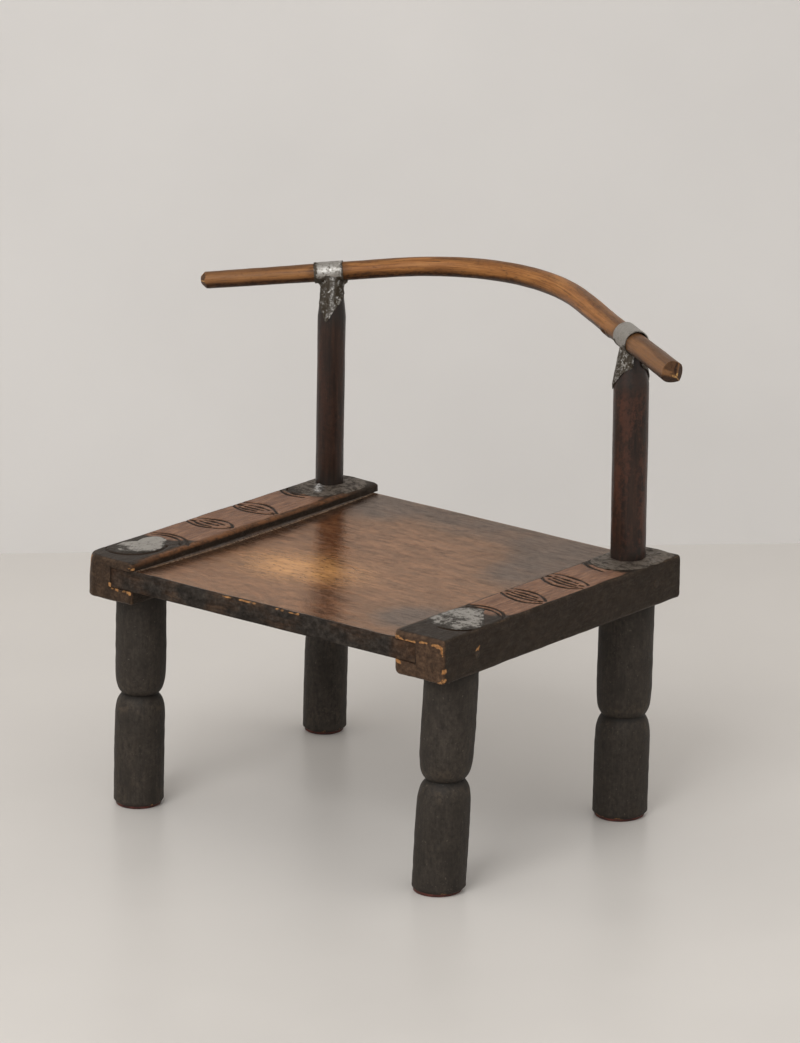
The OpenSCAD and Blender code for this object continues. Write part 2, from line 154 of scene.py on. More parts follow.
def pick_edges(piece, wanted):
    """Enters edit mode with the edges selected for which wanted(edge) is true."""
    only(piece)
    bpy.ops.object.mode_set(mode="EDIT")
    bpy.context.tool_settings.mesh_select_mode = (False, True, False)
    bpy.ops.mesh.select_all(action="DESELECT")
    mesh = bmesh.from_edit_mesh(piece.data)
    for edge in mesh.edges:
        edge.select_set(bool(wanted(edge)))
    bmesh.update_edit_mesh(piece.data)


MOST_CUTS = 100


def cut_strips(piece, axis, parts):
    """Cuts every edge that runs along an axis into equal parts, in two goes where there are many."""
    first = parts if parts <= MOST_CUTS else math.ceil(math.sqrt(parts))
    for count in (first, round(parts / first)):
        if count > 1:
            pick_edges(piece, lambda edge: runs_along(edge, axis))
            bpy.ops.mesh.subdivide(number_cuts=count - 1)
            bpy.ops.object.mode_set(mode="OBJECT")


def runs_along(edge, axis):
    run = edge.verts[1].co - edge.verts[0].co
    return abs(run[axis]) > 0.99 * run.length


def refine(piece, wanted, cuts):
    """Cuts the faces whose middle wanted(points) picks into smaller ones."""
    only(piece)
    middles = np.array([face.center for face in piece.data.polygons]) / MM
    keep = wanted(middles)
    bpy.ops.object.mode_set(mode="EDIT")
    bpy.context.tool_settings.mesh_select_mode = (False, False, True)
    bpy.ops.mesh.select_all(action="DESELECT")
    mesh = bmesh.from_edit_mesh(piece.data)
    for face, chosen in zip(mesh.faces, keep):
        face.select_set(bool(chosen))
    bmesh.update_edit_mesh(piece.data)
    bpy.ops.mesh.subdivide(number_cuts=cuts)
    bpy.ops.object.mode_set(mode="OBJECT")


# %% [markdown]
# ## Wearing a piece
# Wood that was hewn by hand has three scales of unevenness: the whole face wanders, the blade leaves
# shallow waves, and handling rounds the edges more in some places than in others. Moving the vertices in
# code is like sculpting: each brush below takes the points and gives them back a little changed.

# %% Brushes that move and paint vertices


def set_points(piece, points):
    piece.data.vertices.foreach_set("co", (points * MM).ravel())
    piece.data.update()


def lumps(points, size, seed):
    """Smooth noise from -1 to 1 at each point, with lumps of a size along each axis."""
    places = points / np.array(size, float) + seed
    return np.array([noise.noise(place) for place in places.tolist()])


def hew(piece, amount, size, seed):
    """Pushes the surface in and out along its normals."""
    points = points_of(piece)
    push = amount * lumps(points, size, seed)
    set_points(piece, points + read_vertices(piece, "normal") * push[:, None])


def soften(depths, radii):
    """Rounds a block's upright edge first, and then the edge round its top or foot. depths are those below
    the end, the side and the top or foot. radii are the upright edge's, the end's and the side's."""
    end, side, cap = depths
    upright, over_end, over_side = radii[0], np.maximum(radii[0] - end, 0), np.maximum(radii[0] - side, 0)
    turned = np.maximum(np.hypot(over_end, over_side), 1e-6)
    share = np.where(over_end + over_side > 0, over_end / turned, end < side)
    other = np.where(over_end + over_side > 0, over_side / turned, end >= side)
    wall = np.minimum(end, side)
    radius = radii[1] * share ** 2 + radii[2] * other ** 2
    over_wall, over_cap = np.maximum(radius - wall, 0), np.maximum(radius - cap, 0)
    keep = np.maximum(over_wall, over_cap) / np.maximum(np.hypot(over_wall, over_cap), 1e-6)
    inward = np.where(over_wall > 0, radius - over_wall * keep - wall, 0)
    cap = np.where(over_cap > 0, radius - over_cap * keep, cap)
    end = np.where(over_end > 0, upright - share * (upright - wall), end) + share * inward
    side = np.where(over_side > 0, upright - other * (upright - wall), side) + other * inward
    return np.stack([end, side, cap])


def round_edge(a, b, radius):
    """Rounds the edge where two faces meet: a and b are the depths below each face, changed in place."""
    near = (a < radius) & (b < radius)
    da, db, r = (radius - a)[near], (radius - b)[near], (radius + 0 * a)[near]
    reach = np.maximum(np.hypot(da, db), 1e-6)
    a[near] = r - da * r / reach
    b[near] = r - db * r / reach


def smooth_step(value, low, high):
    share = np.clip((value - low) / (high - low), 0, 1)
    return share * share * (3 - 2 * share)


def paint(piece, name, values):
    """Keeps one number from 0 to 1 on each vertex, for the materials to read."""
    layer = piece.data.attributes.new(name, "FLOAT", "POINT")
    layer.data.foreach_set("value", np.clip(values, 0, 1).astype(np.float32))


BOX_LOW, BOX_HIGH = np.array(cad_low) / MM + 0.01, np.array(cad_high) / MM - 0.01


def complete(piece, material, node, angle=50):
    """Keeps a piece inside the chair's box, gives it its finish and ties it to the frame."""
    set_points(piece, np.clip(points_of(piece), BOX_LOW, BOX_HIGH))
    only(piece)
    bpy.ops.object.mode_set(mode="EDIT")
    bpy.ops.mesh.select_all(action="SELECT")
    bpy.ops.mesh.normals_make_consistent(inside=False)
    bpy.ops.object.mode_set(mode="OBJECT")
    bpy.ops.object.shade_smooth_by_angle(angle=math.radians(angle))
    piece.data.materials.clear()
    piece.data.materials.append(material)
    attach(piece, BODY)
    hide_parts(node)
    low, high = points_of(piece).min(0), points_of(piece).max(0)
    print(piece.name, len(piece.data.polygons), "faces", np.round(low, 1), np.round(high, 1))


# %% [markdown]
# ## Materials from nodes
# Every finish is built from the same few bricks: a stretched noise for grain, a ramp that turns it into
# colours, masks that were painted on the vertices, and a bump from the same noise. A small helper keeps
# each brick to one line, so that a material reads like a recipe.

# %% Node helpers


class Recipe:
    """A material under construction, with one Principled shader."""

    def __init__(self, name):
        self.material = bpy.data.materials.new(name)
        self.material.use_nodes = True
        self.tree = self.material.node_tree
        self.shader = self.tree.nodes["Principled BSDF"]
        self.place = self.add("ShaderNodeTexCoord").outputs["Object"]

    def add(self, kind, inputs=None, **settings):
        made = self.tree.nodes.new(kind)
        for key, value in settings.items():
            setattr(made, key, value)
        for key, value in (inputs or {}).items():
            self.feed(made.inputs[key], value)
        return made

    def feed(self, socket, value):
        if isinstance(value, bpy.types.NodeSocket):
            self.tree.links.new(value, socket)
        else:
            socket.default_value = value

    def noise(self, size, detail=4.0, roughness=0.55, distortion=0.0, place=None):
        """Noise with features of a size in millimetres along X, Y and Z."""
        scale = [1 / (s * MM) for s in size]
        mapped = self.add("ShaderNodeMapping", {"Vector": place or self.place, "Scale": scale})
        made = self.add("ShaderNodeTexNoise", {
            "Vector": mapped.outputs[0], "Scale": 1.0, "Detail": detail,
            "Roughness": roughness, "Distortion": distortion})
        return made.outputs["Fac"]

    def cells(self, size):
        made = self.add("ShaderNodeTexVoronoi", {"Vector": self.place, "Scale": 1 / (size * MM)})
        return made.outputs["Distance"]

    def ramp(self, value, *stops):
        """Colours at positions from 0 to 1."""
        made = self.add("ShaderNodeValToRGB", {"Fac": value})
        band = made.color_ramp
        while len(band.elements) < len(stops):
            band.elements.new(0.5)
        for element, (position, colour) in zip(band.elements, stops):
            element.position = position
            element.color = (*colour, 1)
        return made.outputs["Color"]

    def fit(self, value, low, high, to_low=0.0, to_high=1.0):
        """Stretches a range of values to another one and holds it there."""
        made = self.add("ShaderNodeMapRange", {
            "Value": value, "From Min": low, "From Max": high, "To Min": to_low, "To Max": to_high})
        return made.outputs["Result"]

    def times(self, a, b):
        return self.add("ShaderNodeMath", {0: a, 1: b}, operation="MULTIPLY").outputs[0]

    def plus(self, a, b):
        return self.add("ShaderNodeMath", {0: a, 1: b}, operation="ADD").outputs[0]

    def blend(self, share, a, b):
        """Lays colour b over colour a."""
        made = self.add("ShaderNodeMix", data_type="RGBA", blend_type="MIX")
        for socket, value in ((made.inputs[0], share), (made.inputs[6], a), (made.inputs[7], b)):
            if isinstance(value, tuple) and len(value) == 3:
                value = (*value, 1)
            self.feed(socket, value)
        return made.outputs[2]

    def mask(self, name):
        return self.add("ShaderNodeAttribute", attribute_name=name).outputs["Fac"]

    def bump(self, height, distance, after=None):
        """Relief of a depth in millimetres, on top of the relief after."""
        inputs = {"Height": height, "Distance": distance * MM, "Strength": 1.0}
        if after is not None:
            inputs["Normal"] = after
        return self.add("ShaderNodeBump", inputs).outputs["Normal"]

    def done(self, colour, roughness, normal, **sockets):
        sockets.update(Base_Color=colour, Roughness=roughness, Normal=normal)
        for key, value in sockets.items():
            self.feed(self.shader.inputs[key.replace("_", " ")], value)
        return self.material


BARE_WOOD = (0.38, 0.19, 0.072)
DARK_SOOT_AND_SHADE = (0.012, 0.01, 0.008)

# %% [markdown]
# ### Waxed seat wood
# The seat is a warm brown that years of sitting have polished. Its grain runs across the chair, from
# rail to rail. Painted masks change it: soot along the rear and round the edges, soot and painted shade
# along the left rail's lip and on the plank under it, a golden worn patch, a few dark streaks, and bare
# wood where the front edge is chipped. Old wax has yellowed: seen at a low angle it warms both the wood
# and what the wood reflects, so it is a coat with a tint and no shine of its own. The sooty front edge
# has lost it, and the coat and the shine follow the same mask as the colour.

# %% Seat wood
# Ramps of colour: (value of the noise, colour)
SEAT_GRAIN = ((0.38, (0.036, 0.015, 0.0068)), (0.5, (0.087, 0.038, 0.0162)), (0.62, (0.185, 0.093, 0.043)))
SEAT_SOOT_AND_SHADE = ((0.38, (0.014, 0.0115, 0.0095)), (0.53, (0.028, 0.0232, 0.0195)), (0.7, (0.056, 0.047, 0.039)))
PLANK_BUTT = ((0.36, (0.024, 0.0135, 0.0088)), (0.52, (0.05, 0.029, 0.0185)), (0.7, (0.1, 0.06, 0.036)))
PALE_BLOTCH, DARK_BLOTCH = (0.215, 0.112, 0.053), (0.05, 0.023, 0.012)
PALE_FLECK, DARK_FLECK = (0.24, 0.125, 0.06), (0.022, 0.011, 0.006)
DARK_BAND, DARK_STREAK = (0.046, 0.021, 0.011), (0.028, 0.016, 0.01)
WORN_GOLD, SEAM_DUST, CHIP_RIM = (0.58, 0.38, 0.16), (0.34, 0.27, 0.2), (0.2, 0.095, 0.038)
WAX_TINT = (1.0, 0.905, 0.83, 1.0)
WAX_IOR, TINT_IOR = 2.0, 1.02


def seat_wood():
    wood = Recipe("seat_wood")
    fibres = wood.noise((24, 2.6, 2.6), detail=6, roughness=0.68, distortion=0.4)
    bands = wood.noise((90, 9, 9), detail=4, roughness=0.55, distortion=1.2)
    clouds = wood.noise((46, 28, 28), detail=4, roughness=0.6)
    flecks = wood.noise((8, 3.2, 3.2), detail=5, roughness=0.7)
    mottle = wood.noise((7, 6, 6), detail=6, roughness=0.72)
    blotches = wood.noise((20, 11, 11), detail=6, roughness=0.68, distortion=0.3)
    base = wood.ramp(fibres, *SEAT_GRAIN)
    base = wood.blend(wood.fit(blotches, 0.5, 0.6, 0, 0.55), base, PALE_BLOTCH)
    base = wood.blend(wood.fit(blotches, 0.48, 0.39, 0, 0.5), base, DARK_BLOTCH)
    base = wood.blend(wood.fit(bands, 0.52, 0.62, 0, 0.6), base, DARK_BAND)
    base = wood.blend(wood.fit(flecks, 0.44, 0.36, 0, 0.55), base, PALE_FLECK)
    golden = wood.times(wood.mask("golden"), wood.fit(fibres, 0.3, 0.62, 0.65, 1.0))
    base = wood.blend(golden, base, WORN_GOLD)
    base = wood.blend(wood.fit(flecks, 0.53, 0.64, 0, 0.75), base, DARK_FLECK)
    # Soot and handling dirt, with painted shade along the left lip and on the plank under it
    dark = wood.blend(wood.mask("butt"), wood.ramp(mottle, *SEAT_SOOT_AND_SHADE), wood.ramp(mottle, *PLANK_BUTT))
    soot_and_shade = wood.times(wood.mask("soot_and_shade"), wood.fit(clouds, 0.38, 0.6, 0.8, 1.1))
    base = wood.blend(soot_and_shade, base, dark)
    base = wood.blend(wood.fit(wood.mask("streak"), 0.15, 0.5), base, DARK_STREAK)
    dust = wood.times(wood.mask("seam"), wood.fit(flecks, 0.42, 0.56, 0.0, 0.7))
    base = wood.blend(dust, base, SEAM_DUST)
    splinters = wood.noise((15, 2.2, 2.2), detail=5)
    chip = wood.fit(wood.times(wood.mask("bare"), splinters), 0.25, 0.36)
    base = wood.blend(chip, base, wood.ramp(flecks, (0.4, CHIP_RIM), (0.56, BARE_WOOD)))
    # The wax's own look: matt where soot and painted shade are thickest, and the shine broken up by the
    # grain
    matt = wood.fit(wood.mask("soot_and_shade"), 0.8, 0.97)
    rough = wood.fit(matt, 0, 1, wood.fit(fibres, 0.3, 0.7, 0.15, 0.24), 0.66)
    waxed = wood.plus(wood.times(fibres, 0.5), wood.times(blotches, 0.5))
    waxed = wood.times(wood.fit(waxed, 0.41, 0.57, 0.42, 1.0), wood.fit(flecks, 0.5, 0.64, 1.0, 0.45))
    shine = wood.fit(wood.mask("soot_and_shade"), 0.2, 0.72, 1.0, 0.3)
    shine = wood.times(wood.times(shine, wood.fit(matt, 0, 1, 1.0, 0.12)), waxed)
    tint = wood.times(wood.fit(wood.mask("soot_and_shade"), 0.35, 0.8, 1.0, 0.5), wood.fit(matt, 0, 1, 1.0, 0.0))
    grain = wood.bump(fibres, 0.2)
    waves = wood.bump(wood.noise((60, 14, 14), detail=2), 0.5, grain)
    pitted = wood.bump(wood.times(mottle, matt), 0.7, waves)
    return wood.done(base, rough, pitted, IOR=WAX_IOR, Specular_IOR_Level=shine, Coat_Weight=tint,
                     Coat_Tint=WAX_TINT, Coat_Roughness=0.2, Coat_IOR=TINT_IOR)


SEAT_WOOD = seat_wood()
print("material", SEAT_WOOD.name)

# %% [markdown]
# ### Carved rail wood
# The rails were stained almost black. Hands have worn their tops back to a dull red-brown, most in the
# middle, while the ends and the sides are still dark, and the bottoms of the carved lines hold dirt and
# painted shade. The front ends are end grain, which has taken the stain in warm blotches. Where an edge
# has been knocked, the pale orange heart of the wood shows.

# %% Rail wood
RAIL_WORN = ((0.37, (0.101, 0.047, 0.029)), (0.5, (0.192, 0.097, 0.0585)), (0.64, (0.288, 0.162, 0.099)))
RAIL_STAIN = ((0.36, (0.0098, 0.0066, 0.0047)), (0.52, (0.0172, 0.0119, 0.0086)),
              (0.7, (0.034, 0.0245, 0.0178)))
RAIL_BUTT = ((0.36, (0.027, 0.015, 0.0095)), (0.52, (0.058, 0.033, 0.0205)), (0.7, (0.12, 0.07, 0.041)))
WORN_CLOUD, WORN_GRIT = (0.1, 0.05, 0.032), (0.05, 0.027, 0.018)
STAIN_CLOUD, STAIN_EDGE = (0.034, 0.0225, 0.0155), (0.1, 0.062, 0.038)
WARM_ARRIS, CARVED_DIRT_AND_SHADE, HEART_RIM = (0.15, 0.062, 0.025), (0.013, 0.0075, 0.005), (0.2, 0.085, 0.03)
RAIL_SHEEN = (1.0, 0.78, 0.58, 1.0)


def rail_wood():
    wood = Recipe("rail_wood")
    fibres = wood.noise((2.4, 24, 2.4), detail=6, roughness=0.68, distortion=0.3)
    clouds = wood.noise((15, 24, 14), detail=5, roughness=0.62)
    mottle = wood.noise((6, 8, 5), detail=6, roughness=0.74)
    grit = wood.noise((2.6, 3, 2.6), detail=4, roughness=0.7)
    worn = wood.blend(wood.fit(clouds, 0.46, 0.64, 0, 0.45), wood.ramp(fibres, *RAIL_WORN), WORN_CLOUD)
    worn = wood.blend(wood.fit(grit, 0.58, 0.7, 0, 0.4), worn, WORN_GRIT)
    stain = wood.blend(wood.fit(clouds, 0.55, 0.7, 0, 0.5), wood.ramp(mottle, *RAIL_STAIN), STAIN_CLOUD)
    stain = wood.blend(wood.mask("butt"), stain, wood.ramp(mottle, *RAIL_BUTT))
    stain = wood.blend(wood.times(wood.mask("edge"), wood.fit(grit, 0.4, 0.6)), stain, STAIN_EDGE)
    handled = wood.plus(wood.mask("worn"), wood.fit(clouds, 0.35, 0.65, -0.2, 0.2))
    base = wood.blend(wood.fit(handled, 0.32, 0.66), stain, worn)
    warm = wood.times(wood.mask("warm"), wood.fit(mottle, 0.4, 0.56, 0.35, 1.0))
    base = wood.blend(warm, base, WARM_ARRIS)
    # Dirt and painted shade in the carved lines, and the dark joint at the plank
    base = wood.blend(wood.fit(wood.mask("carved"), 0.15, 0.45), base, CARVED_DIRT_AND_SHADE)
    chip = wood.fit(wood.times(wood.mask("bare"), wood.fit(mottle, 0.36, 0.58)), 0.24, 0.44)
    base = wood.blend(chip, base, wood.ramp(grit, (0.38, HEART_RIM), (0.55, BARE_WOOD)))
    rough = wood.fit(fibres, 0.3, 0.7, 0.42, 0.6)
    grain = wood.bump(fibres, 0.2)
    dents = wood.bump(mottle, 0.8, grain)
    return wood.done(base, rough, dents, Specular_IOR_Level=0.2, Specular_Tint=RAIL_SHEEN)


RAIL_WOOD = rail_wood()
print("material", RAIL_WOOD.name)

# %% [markdown]
# ### Leg, post and rod wood
# Legs, posts and pegs share one recipe: streaks along the grain, a darker and a lighter tone in soft
# clouds, small rubbed spots, and a mask for soot and painted shade. The legs are charcoal and matt, the
# posts a deep red-brown with a little shine from hands. The rod has its own recipe: it is orange-brown
# and darkest where nobody holds it, and its underside is painted darker as shade.

# %% Wood for the round pieces


def round_wood(name, dark, middle, light, rubbed, gloss, shine=0.2, grain=(2.6, 2.6, 34),
               clouds=(17, 17, 34), streaky=0.5, lumpy=0.45):
    """rubbed is the colour of the worn spots, gloss the roughness, streaky the share of long fibres."""
    wood = Recipe(name)
    fibres = wood.noise(grain, detail=6, roughness=0.66, distortion=0.2)
    soft = wood.noise(clouds, detail=5, roughness=0.62)
    fine = wood.noise((4, 4, 5), detail=6, roughness=0.74)
    specks = wood.noise((2.6, 2.6, 3.4), detail=3, roughness=0.6)
    mixed = wood.plus(wood.times(fibres, streaky), wood.times(fine, 1 - streaky))
    base = wood.ramp(mixed, (0.37, dark), (0.5, middle), (0.66, light))
    base = wood.blend(wood.fit(soft, 0.46, 0.64, 0, 0.5), base, dark)
    rub = wood.times(wood.mask("worn"), wood.fit(wood.plus(soft, fine), 0.94, 1.14))
    base = wood.blend(rub, base, rubbed)
    # Soot, and on the legs painted shade in the necks, just under the rails and on the right legs' lower
    # halves
    base = wood.blend(wood.mask("soot_and_shade"), base, DARK_SOOT_AND_SHADE)
    base = wood.blend(wood.fit(specks, 0.66, 0.72, 0, 0.5), base, tuple(2.2 * c for c in light))
    chip = wood.fit(wood.times(wood.mask("bare"), wood.fit(fine, 0.38, 0.58)), 0.3, 0.42)
    base = wood.blend(chip, base, BARE_WOOD)
    rough = wood.fit(fine, 0.35, 0.65, gloss - 0.07, gloss + 0.1)
    normal = wood.bump(fine, lumpy, wood.bump(fibres, 0.2))
    return wood.done(base, rough, normal, Specular_IOR_Level=shine)


LEG_WOOD = round_wood(
    "leg_wood",
    dark=(0.0175, 0.0138, 0.0108), middle=(0.0335, 0.0266, 0.0208), light=(0.054, 0.0435, 0.034),
    rubbed=(0.08, 0.059, 0.041), gloss=0.6, streaky=0.3)
POST_WOOD = round_wood(
    "post_wood", dark=(0.008, 0.0034, 0.0019), middle=(0.02, 0.0088, 0.0049), light=(0.036, 0.016, 0.009),
    rubbed=(0.058, 0.02, 0.0105), gloss=0.36, shine=0.3, grain=(4, 4, 60), clouds=(14, 14, 70),
    streaky=0.8, lumpy=0.2)
print("materials", LEG_WOOD.name, POST_WOOD.name)

# %% [markdown]
# The rod bends, so a grain laid along X, Y or Z would run out of its side. Its mesh keeps where each
# point was before it was bent, and the grain reads that instead.

# %% Rod wood
ROD_GRAIN = ((0.36, (0.175, 0.066, 0.018)), (0.5, (0.265, 0.107, 0.03)), (0.66, (0.36, 0.163, 0.052)))
ROD_STREAK, ROD_CLOUD, ROD_FLECK = (0.1, 0.042, 0.0145), (0.38, 0.17, 0.05), (0.08, 0.036, 0.015)
ROD_CRACK, ROD_DULL, ROD_SOOT_AND_SHADE = (0.04, 0.018, 0.008), (0.135, 0.073, 0.037), (0.024, 0.01, 0.0045)
ROD_BARE = (0.5, 0.29, 0.1)


def rod_wood():
    wood = Recipe("rod_wood")
    straight = wood.add("ShaderNodeAttribute", attribute_name="before_bending").outputs["Vector"]
    fibres = wood.noise((55, 1.7, 1.7), detail=6, roughness=0.66, distortion=0.2, place=straight)
    streaks = wood.noise((110, 4, 4), detail=5, roughness=0.62, distortion=0.4, place=straight)
    cracks = wood.noise((34, 1.3, 1.3), detail=3, roughness=0.6, place=straight)
    clouds = wood.noise((34, 13, 13), detail=4, roughness=0.6, place=straight)
    fine = wood.noise((6, 3, 3), detail=6, roughness=0.74, place=straight)
    base = wood.ramp(fibres, *ROD_GRAIN)
    base = wood.blend(wood.fit(streaks, 0.52, 0.68, 0, 0.4), base, ROD_STREAK)
    base = wood.blend(wood.fit(clouds, 0.52, 0.68, 0, 0.35), base, ROD_CLOUD)
    base = wood.blend(wood.fit(fine, 0.55, 0.66, 0, 0.6), base, ROD_FLECK)
    base = wood.blend(wood.fit(cracks, 0.61, 0.68, 0, 0.8), base, ROD_CRACK)
    dull = wood.times(wood.mask("dull"), wood.fit(fine, 0.35, 0.6, 0.9, 0.5))
    base = wood.blend(dull, base, ROD_DULL)
    # Darker wood, with painted shade on the underside and on a crescent of the right tip
    soot_and_shade = wood.times(wood.mask("soot_and_shade"), wood.fit(fine, 0.34, 0.58, 0.7, 1.1))
    base = wood.blend(soot_and_shade, base, ROD_SOOT_AND_SHADE)
    chip = wood.fit(wood.times(wood.mask("bare"), wood.fit(fine, 0.34, 0.56)), 0.25, 0.4)
    base = wood.blend(chip, base, ROD_BARE)
    rough = wood.fit(fibres, 0.3, 0.7, 0.34, 0.48)
    normal = wood.bump(fine, 0.3, wood.bump(fibres, 0.2))
    return wood.done(base, rough, normal, Specular_IOR_Level=0.18)


ROD_WOOD = rod_wood()
print("material", ROD_WOOD.name)

# %% [markdown]
# ### Soft metal
# The straps are hammered sheet and the inlays were poured and scraped flat. Both are a soft grey metal
# that has gone dull: bright where it is rubbed, nearly black in the pits. Three masks steer it: tarnish
# darkens, smooth takes the pits away, and rubbed brings the bare bright metal back. The rubbed mask also
# carries painted glints on the left strap's band and fold and on the flap beside the left post.

# %% Metal
BARE_METAL_AND_GLINT = (0.8, 0.79, 0.77)


def soft_metal(name, bright, dark, pitting, roughness, metallic=0.75, pit_size=3.0):
    """pitting is the tarnish at which the colour is halfway from bright to dark."""
    metal = Recipe(name)
    stains = metal.noise((12, 12, 12), detail=5, roughness=0.65)
    pits = metal.noise((pit_size, pit_size, pit_size), detail=6, roughness=0.75)
    scraped = metal.noise((2.2, 12, 5), detail=4, roughness=0.6)
    hollow = metal.plus(metal.fit(pits, 0.36, 0.64, 0.0, 0.6), metal.fit(stains, 0.36, 0.64, 0.0, 0.45))
    hollow = metal.times(hollow, metal.fit(metal.mask("smooth"), 0, 1, 1.0, 0.3))
    tarnish = metal.plus(hollow, metal.mask("tarnish"))
    middle = tuple(0.5 * b + 0.5 * d for b, d in zip(bright, dark))
    colour = metal.ramp(tarnish, (pitting - 0.15, bright), (pitting, middle), (pitting + 0.1, dark))
    colour = metal.blend(metal.fit(scraped, 0.4, 0.6, 0, 0.25), colour, tuple(0.55 * b for b in bright))
    # Bare rubbed metal, and painted glints where the mask puts them on the left strap and the flap
    rubbed = metal.times(metal.mask("rubbed"), metal.fit(pits, 0.42, 0.54, 1.0, 0.1))
    colour = metal.blend(rubbed, colour, BARE_METAL_AND_GLINT)
    rough = metal.fit(tarnish, pitting - 0.2, pitting + 0.2, roughness, roughness + 0.28)
    pitted = metal.times(pits, metal.fit(metal.mask("smooth"), 0, 1, 1.0, 0.2))
    return metal.done(colour, rough, metal.bump(pitted, 1.0, metal.bump(scraped, 0.12)), Metallic=metallic)


STRAP_METAL = soft_metal("strap_metal", (0.31, 0.292, 0.265), (0.046, 0.034, 0.021), 0.52, 0.36)
INLAY_METAL = soft_metal("inlay_metal", (0.37, 0.35, 0.32), (0.04, 0.033, 0.026), 0.6, 0.42, pit_size=4.5)
PATCH_METAL = soft_metal(
    "patch_metal", (0.125, 0.1, 0.077), (0.03, 0.021, 0.0145), 0.48, 0.55, metallic=0.3, pit_size=4.5)
print("materials", STRAP_METAL.name, INLAY_METAL.name, PATCH_METAL.name)

# %% [markdown]
# ### Foot pads and pegs
# Two small finishes: creased dark red leather, and end grain that was stained with the rail.

# %% Leather and peg wood


def pad_leather():
    hide = Recipe("pad_leather")
    creases = hide.cells(2.2)
    stains = hide.noise((9, 9, 9), detail=4)
    base = hide.ramp(stains, (0.38, (0.03, 0.008, 0.006)), (0.62, (0.09, 0.022, 0.014)))
    rough = hide.fit(stains, 0.3, 0.7, 0.4, 0.6)
    return hide.done(base, rough, hide.bump(creases, 0.15), Specular_IOR_Level=0.3)


PAD_LEATHER = pad_leather()
PEG_WOOD = round_wood(
    "peg_wood", dark=(0.018, 0.012, 0.008), middle=(0.035, 0.024, 0.016), light=(0.07, 0.048, 0.032),
    rubbed=(0.13, 0.085, 0.055), gloss=0.6, grain=(20, 1.6, 1.6))
print("materials", PAD_LEATHER.name, PEG_WOOD.name)

# %% [markdown]
# ## The seat plank
# One adzed board, hollowed from front to back and polished by use. Its ends run in the rails' grooves.
# The front edge is the part that people brush past: it is rounded over, black with handling, and has
# lost long splinters along the middle.

# %% Seat plank
PLANK_STEP, PLANK_LAYERS = 2.5, 8
FINE_AT_FRONT, FINE_BY_LIPS = 9, 6
plank = start_block("plank", plank_low, plank_high)
plank_size = plank_high - plank_low
cut_strips(plank, 0, int(plank_size[0] / PLANK_STEP))
cut_strips(plank, 1, int(plank_size[1] / PLANK_STEP))
cut_strips(plank, 2, PLANK_LAYERS)
LIPS = box_of("left_side_rail")[1][0], box_of("right_side_rail")[0][0]
refine(plank, lambda middles: middles[:, 1] < plank_low[1] + FINE_AT_FRONT, 1)
refine(plank, lambda middles: np.abs(middles[:, :1] - LIPS).min(1) < FINE_BY_LIPS, 1)
print("lips of the rails at", np.round(LIPS, 1))

# %% [markdown]
# ### The plank's hollow and its worn edges
# Front and rear edge run at a slight skew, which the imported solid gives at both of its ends.

# %% Hollow and edges
front_left, rear_left = reach_at_end("seat_plank", -1)
front_right, rear_right = reach_at_end("seat_plank", 1)
SEAT_HOLLOW, FRONT_SWELL = 4.0, 1.2
FRONT_TOP_ROUND, FRONT_FOOT_ROUND, REAR_TOP_ROUND, REAR_FOOT_ROUND = 2.8, 1.5, 3.0, 2.5
# Splinters lost from the front edge: from x, to x, strength
SPLINTERS = ((-38.0, -18.0, 0.8), (-15.0, 11.0, 1.0), (32.0, 66.0, 0.95), (155.0, 163.0, 0.8),
             (-72.0, -66.0, 0.7), (88.0, 97.0, 0.6))


def shape_plank():
    points = points_of(plank)
    x, y, z = points.T.copy()
    across = (x - plank_low[0]) / plank_size[0]
    back = (y - plank_low[1]) / plank_size[1]
    up = (z - plank_low[2]) / plank_size[2]
    front = front_left + (front_right - front_left) * across - FRONT_SWELL
    rear = rear_left + (rear_right - rear_left) * across
    along = np.stack([x, 0 * x, 0 * x], 1)
    hollow = SEAT_HOLLOW * (1 - (2 * back - 1) ** 2) * (1 - 0.5 * np.abs(2 * across - 1) ** 10)
    hollow = hollow * smooth_step(x, LIPS[0] - 0.6, LIPS[0] + 1.2)
    hollow = hollow * smooth_step(x, LIPS[1] + 0.6, LIPS[1] - 1.2)
    top = plank_high[2] - hollow + 0.35 * lumps(points, (90, 34, 90), 3.1)
    wander = 0.5 * lumps(points, (46, 46, 9), 7.7)
    inset = back * (rear - front)
    depth = rear - front - inset
    below = (1 - up) * (top - plank_low[2])
    above = up * (top - plank_low[2])
    splinter = 0 * x
    for first, last, strength in SPLINTERS:
        sliver = smooth_step(x, first - 1.5, first + 3) * smooth_step(x, last + 1.5, last - 6)
        splinter = np.maximum(splinter, strength * sliver * (0.75 + 0.6 * lumps(along, (5, 5, 5), 5.2)))
    round_edge(inset, below, FRONT_TOP_ROUND + 0.9 * lumps(along, (38, 38, 38), 2.2) + 0.8 * splinter)
    round_edge(inset, above, FRONT_FOOT_ROUND + 0.5 * lumps(along, (30, 30, 30), 8.2))
    round_edge(depth, below, REAR_TOP_ROUND + 0.8 * lumps(along, (38, 38, 38), 4.2))
    round_edge(depth, above, REAR_FOOT_ROUND + 0 * x)
    face = (back < 0.5) * smooth_step(inset, 4.0, 0.0) - (back > 0.5) * smooth_step(depth, 4.0, 0.0)
    moved = np.stack([x, front + inset + face * wander, top - below], 1)
    moved[up < 0.5, 2] = plank_low[2] + above[up < 0.5]
    set_points(plank, moved)
    return points, inset, depth, below, splinter


unworn = shape_plank()
print("front edge from", round(front_left, 1), "to", round(front_right, 1))

# %% [markdown]
# ### Where the seat is dark, golden or chipped
# The masks are painted on the vertices of the unworn plank. inset and depth are the distances from its
# front and its rear edge, and below is the distance under its top.

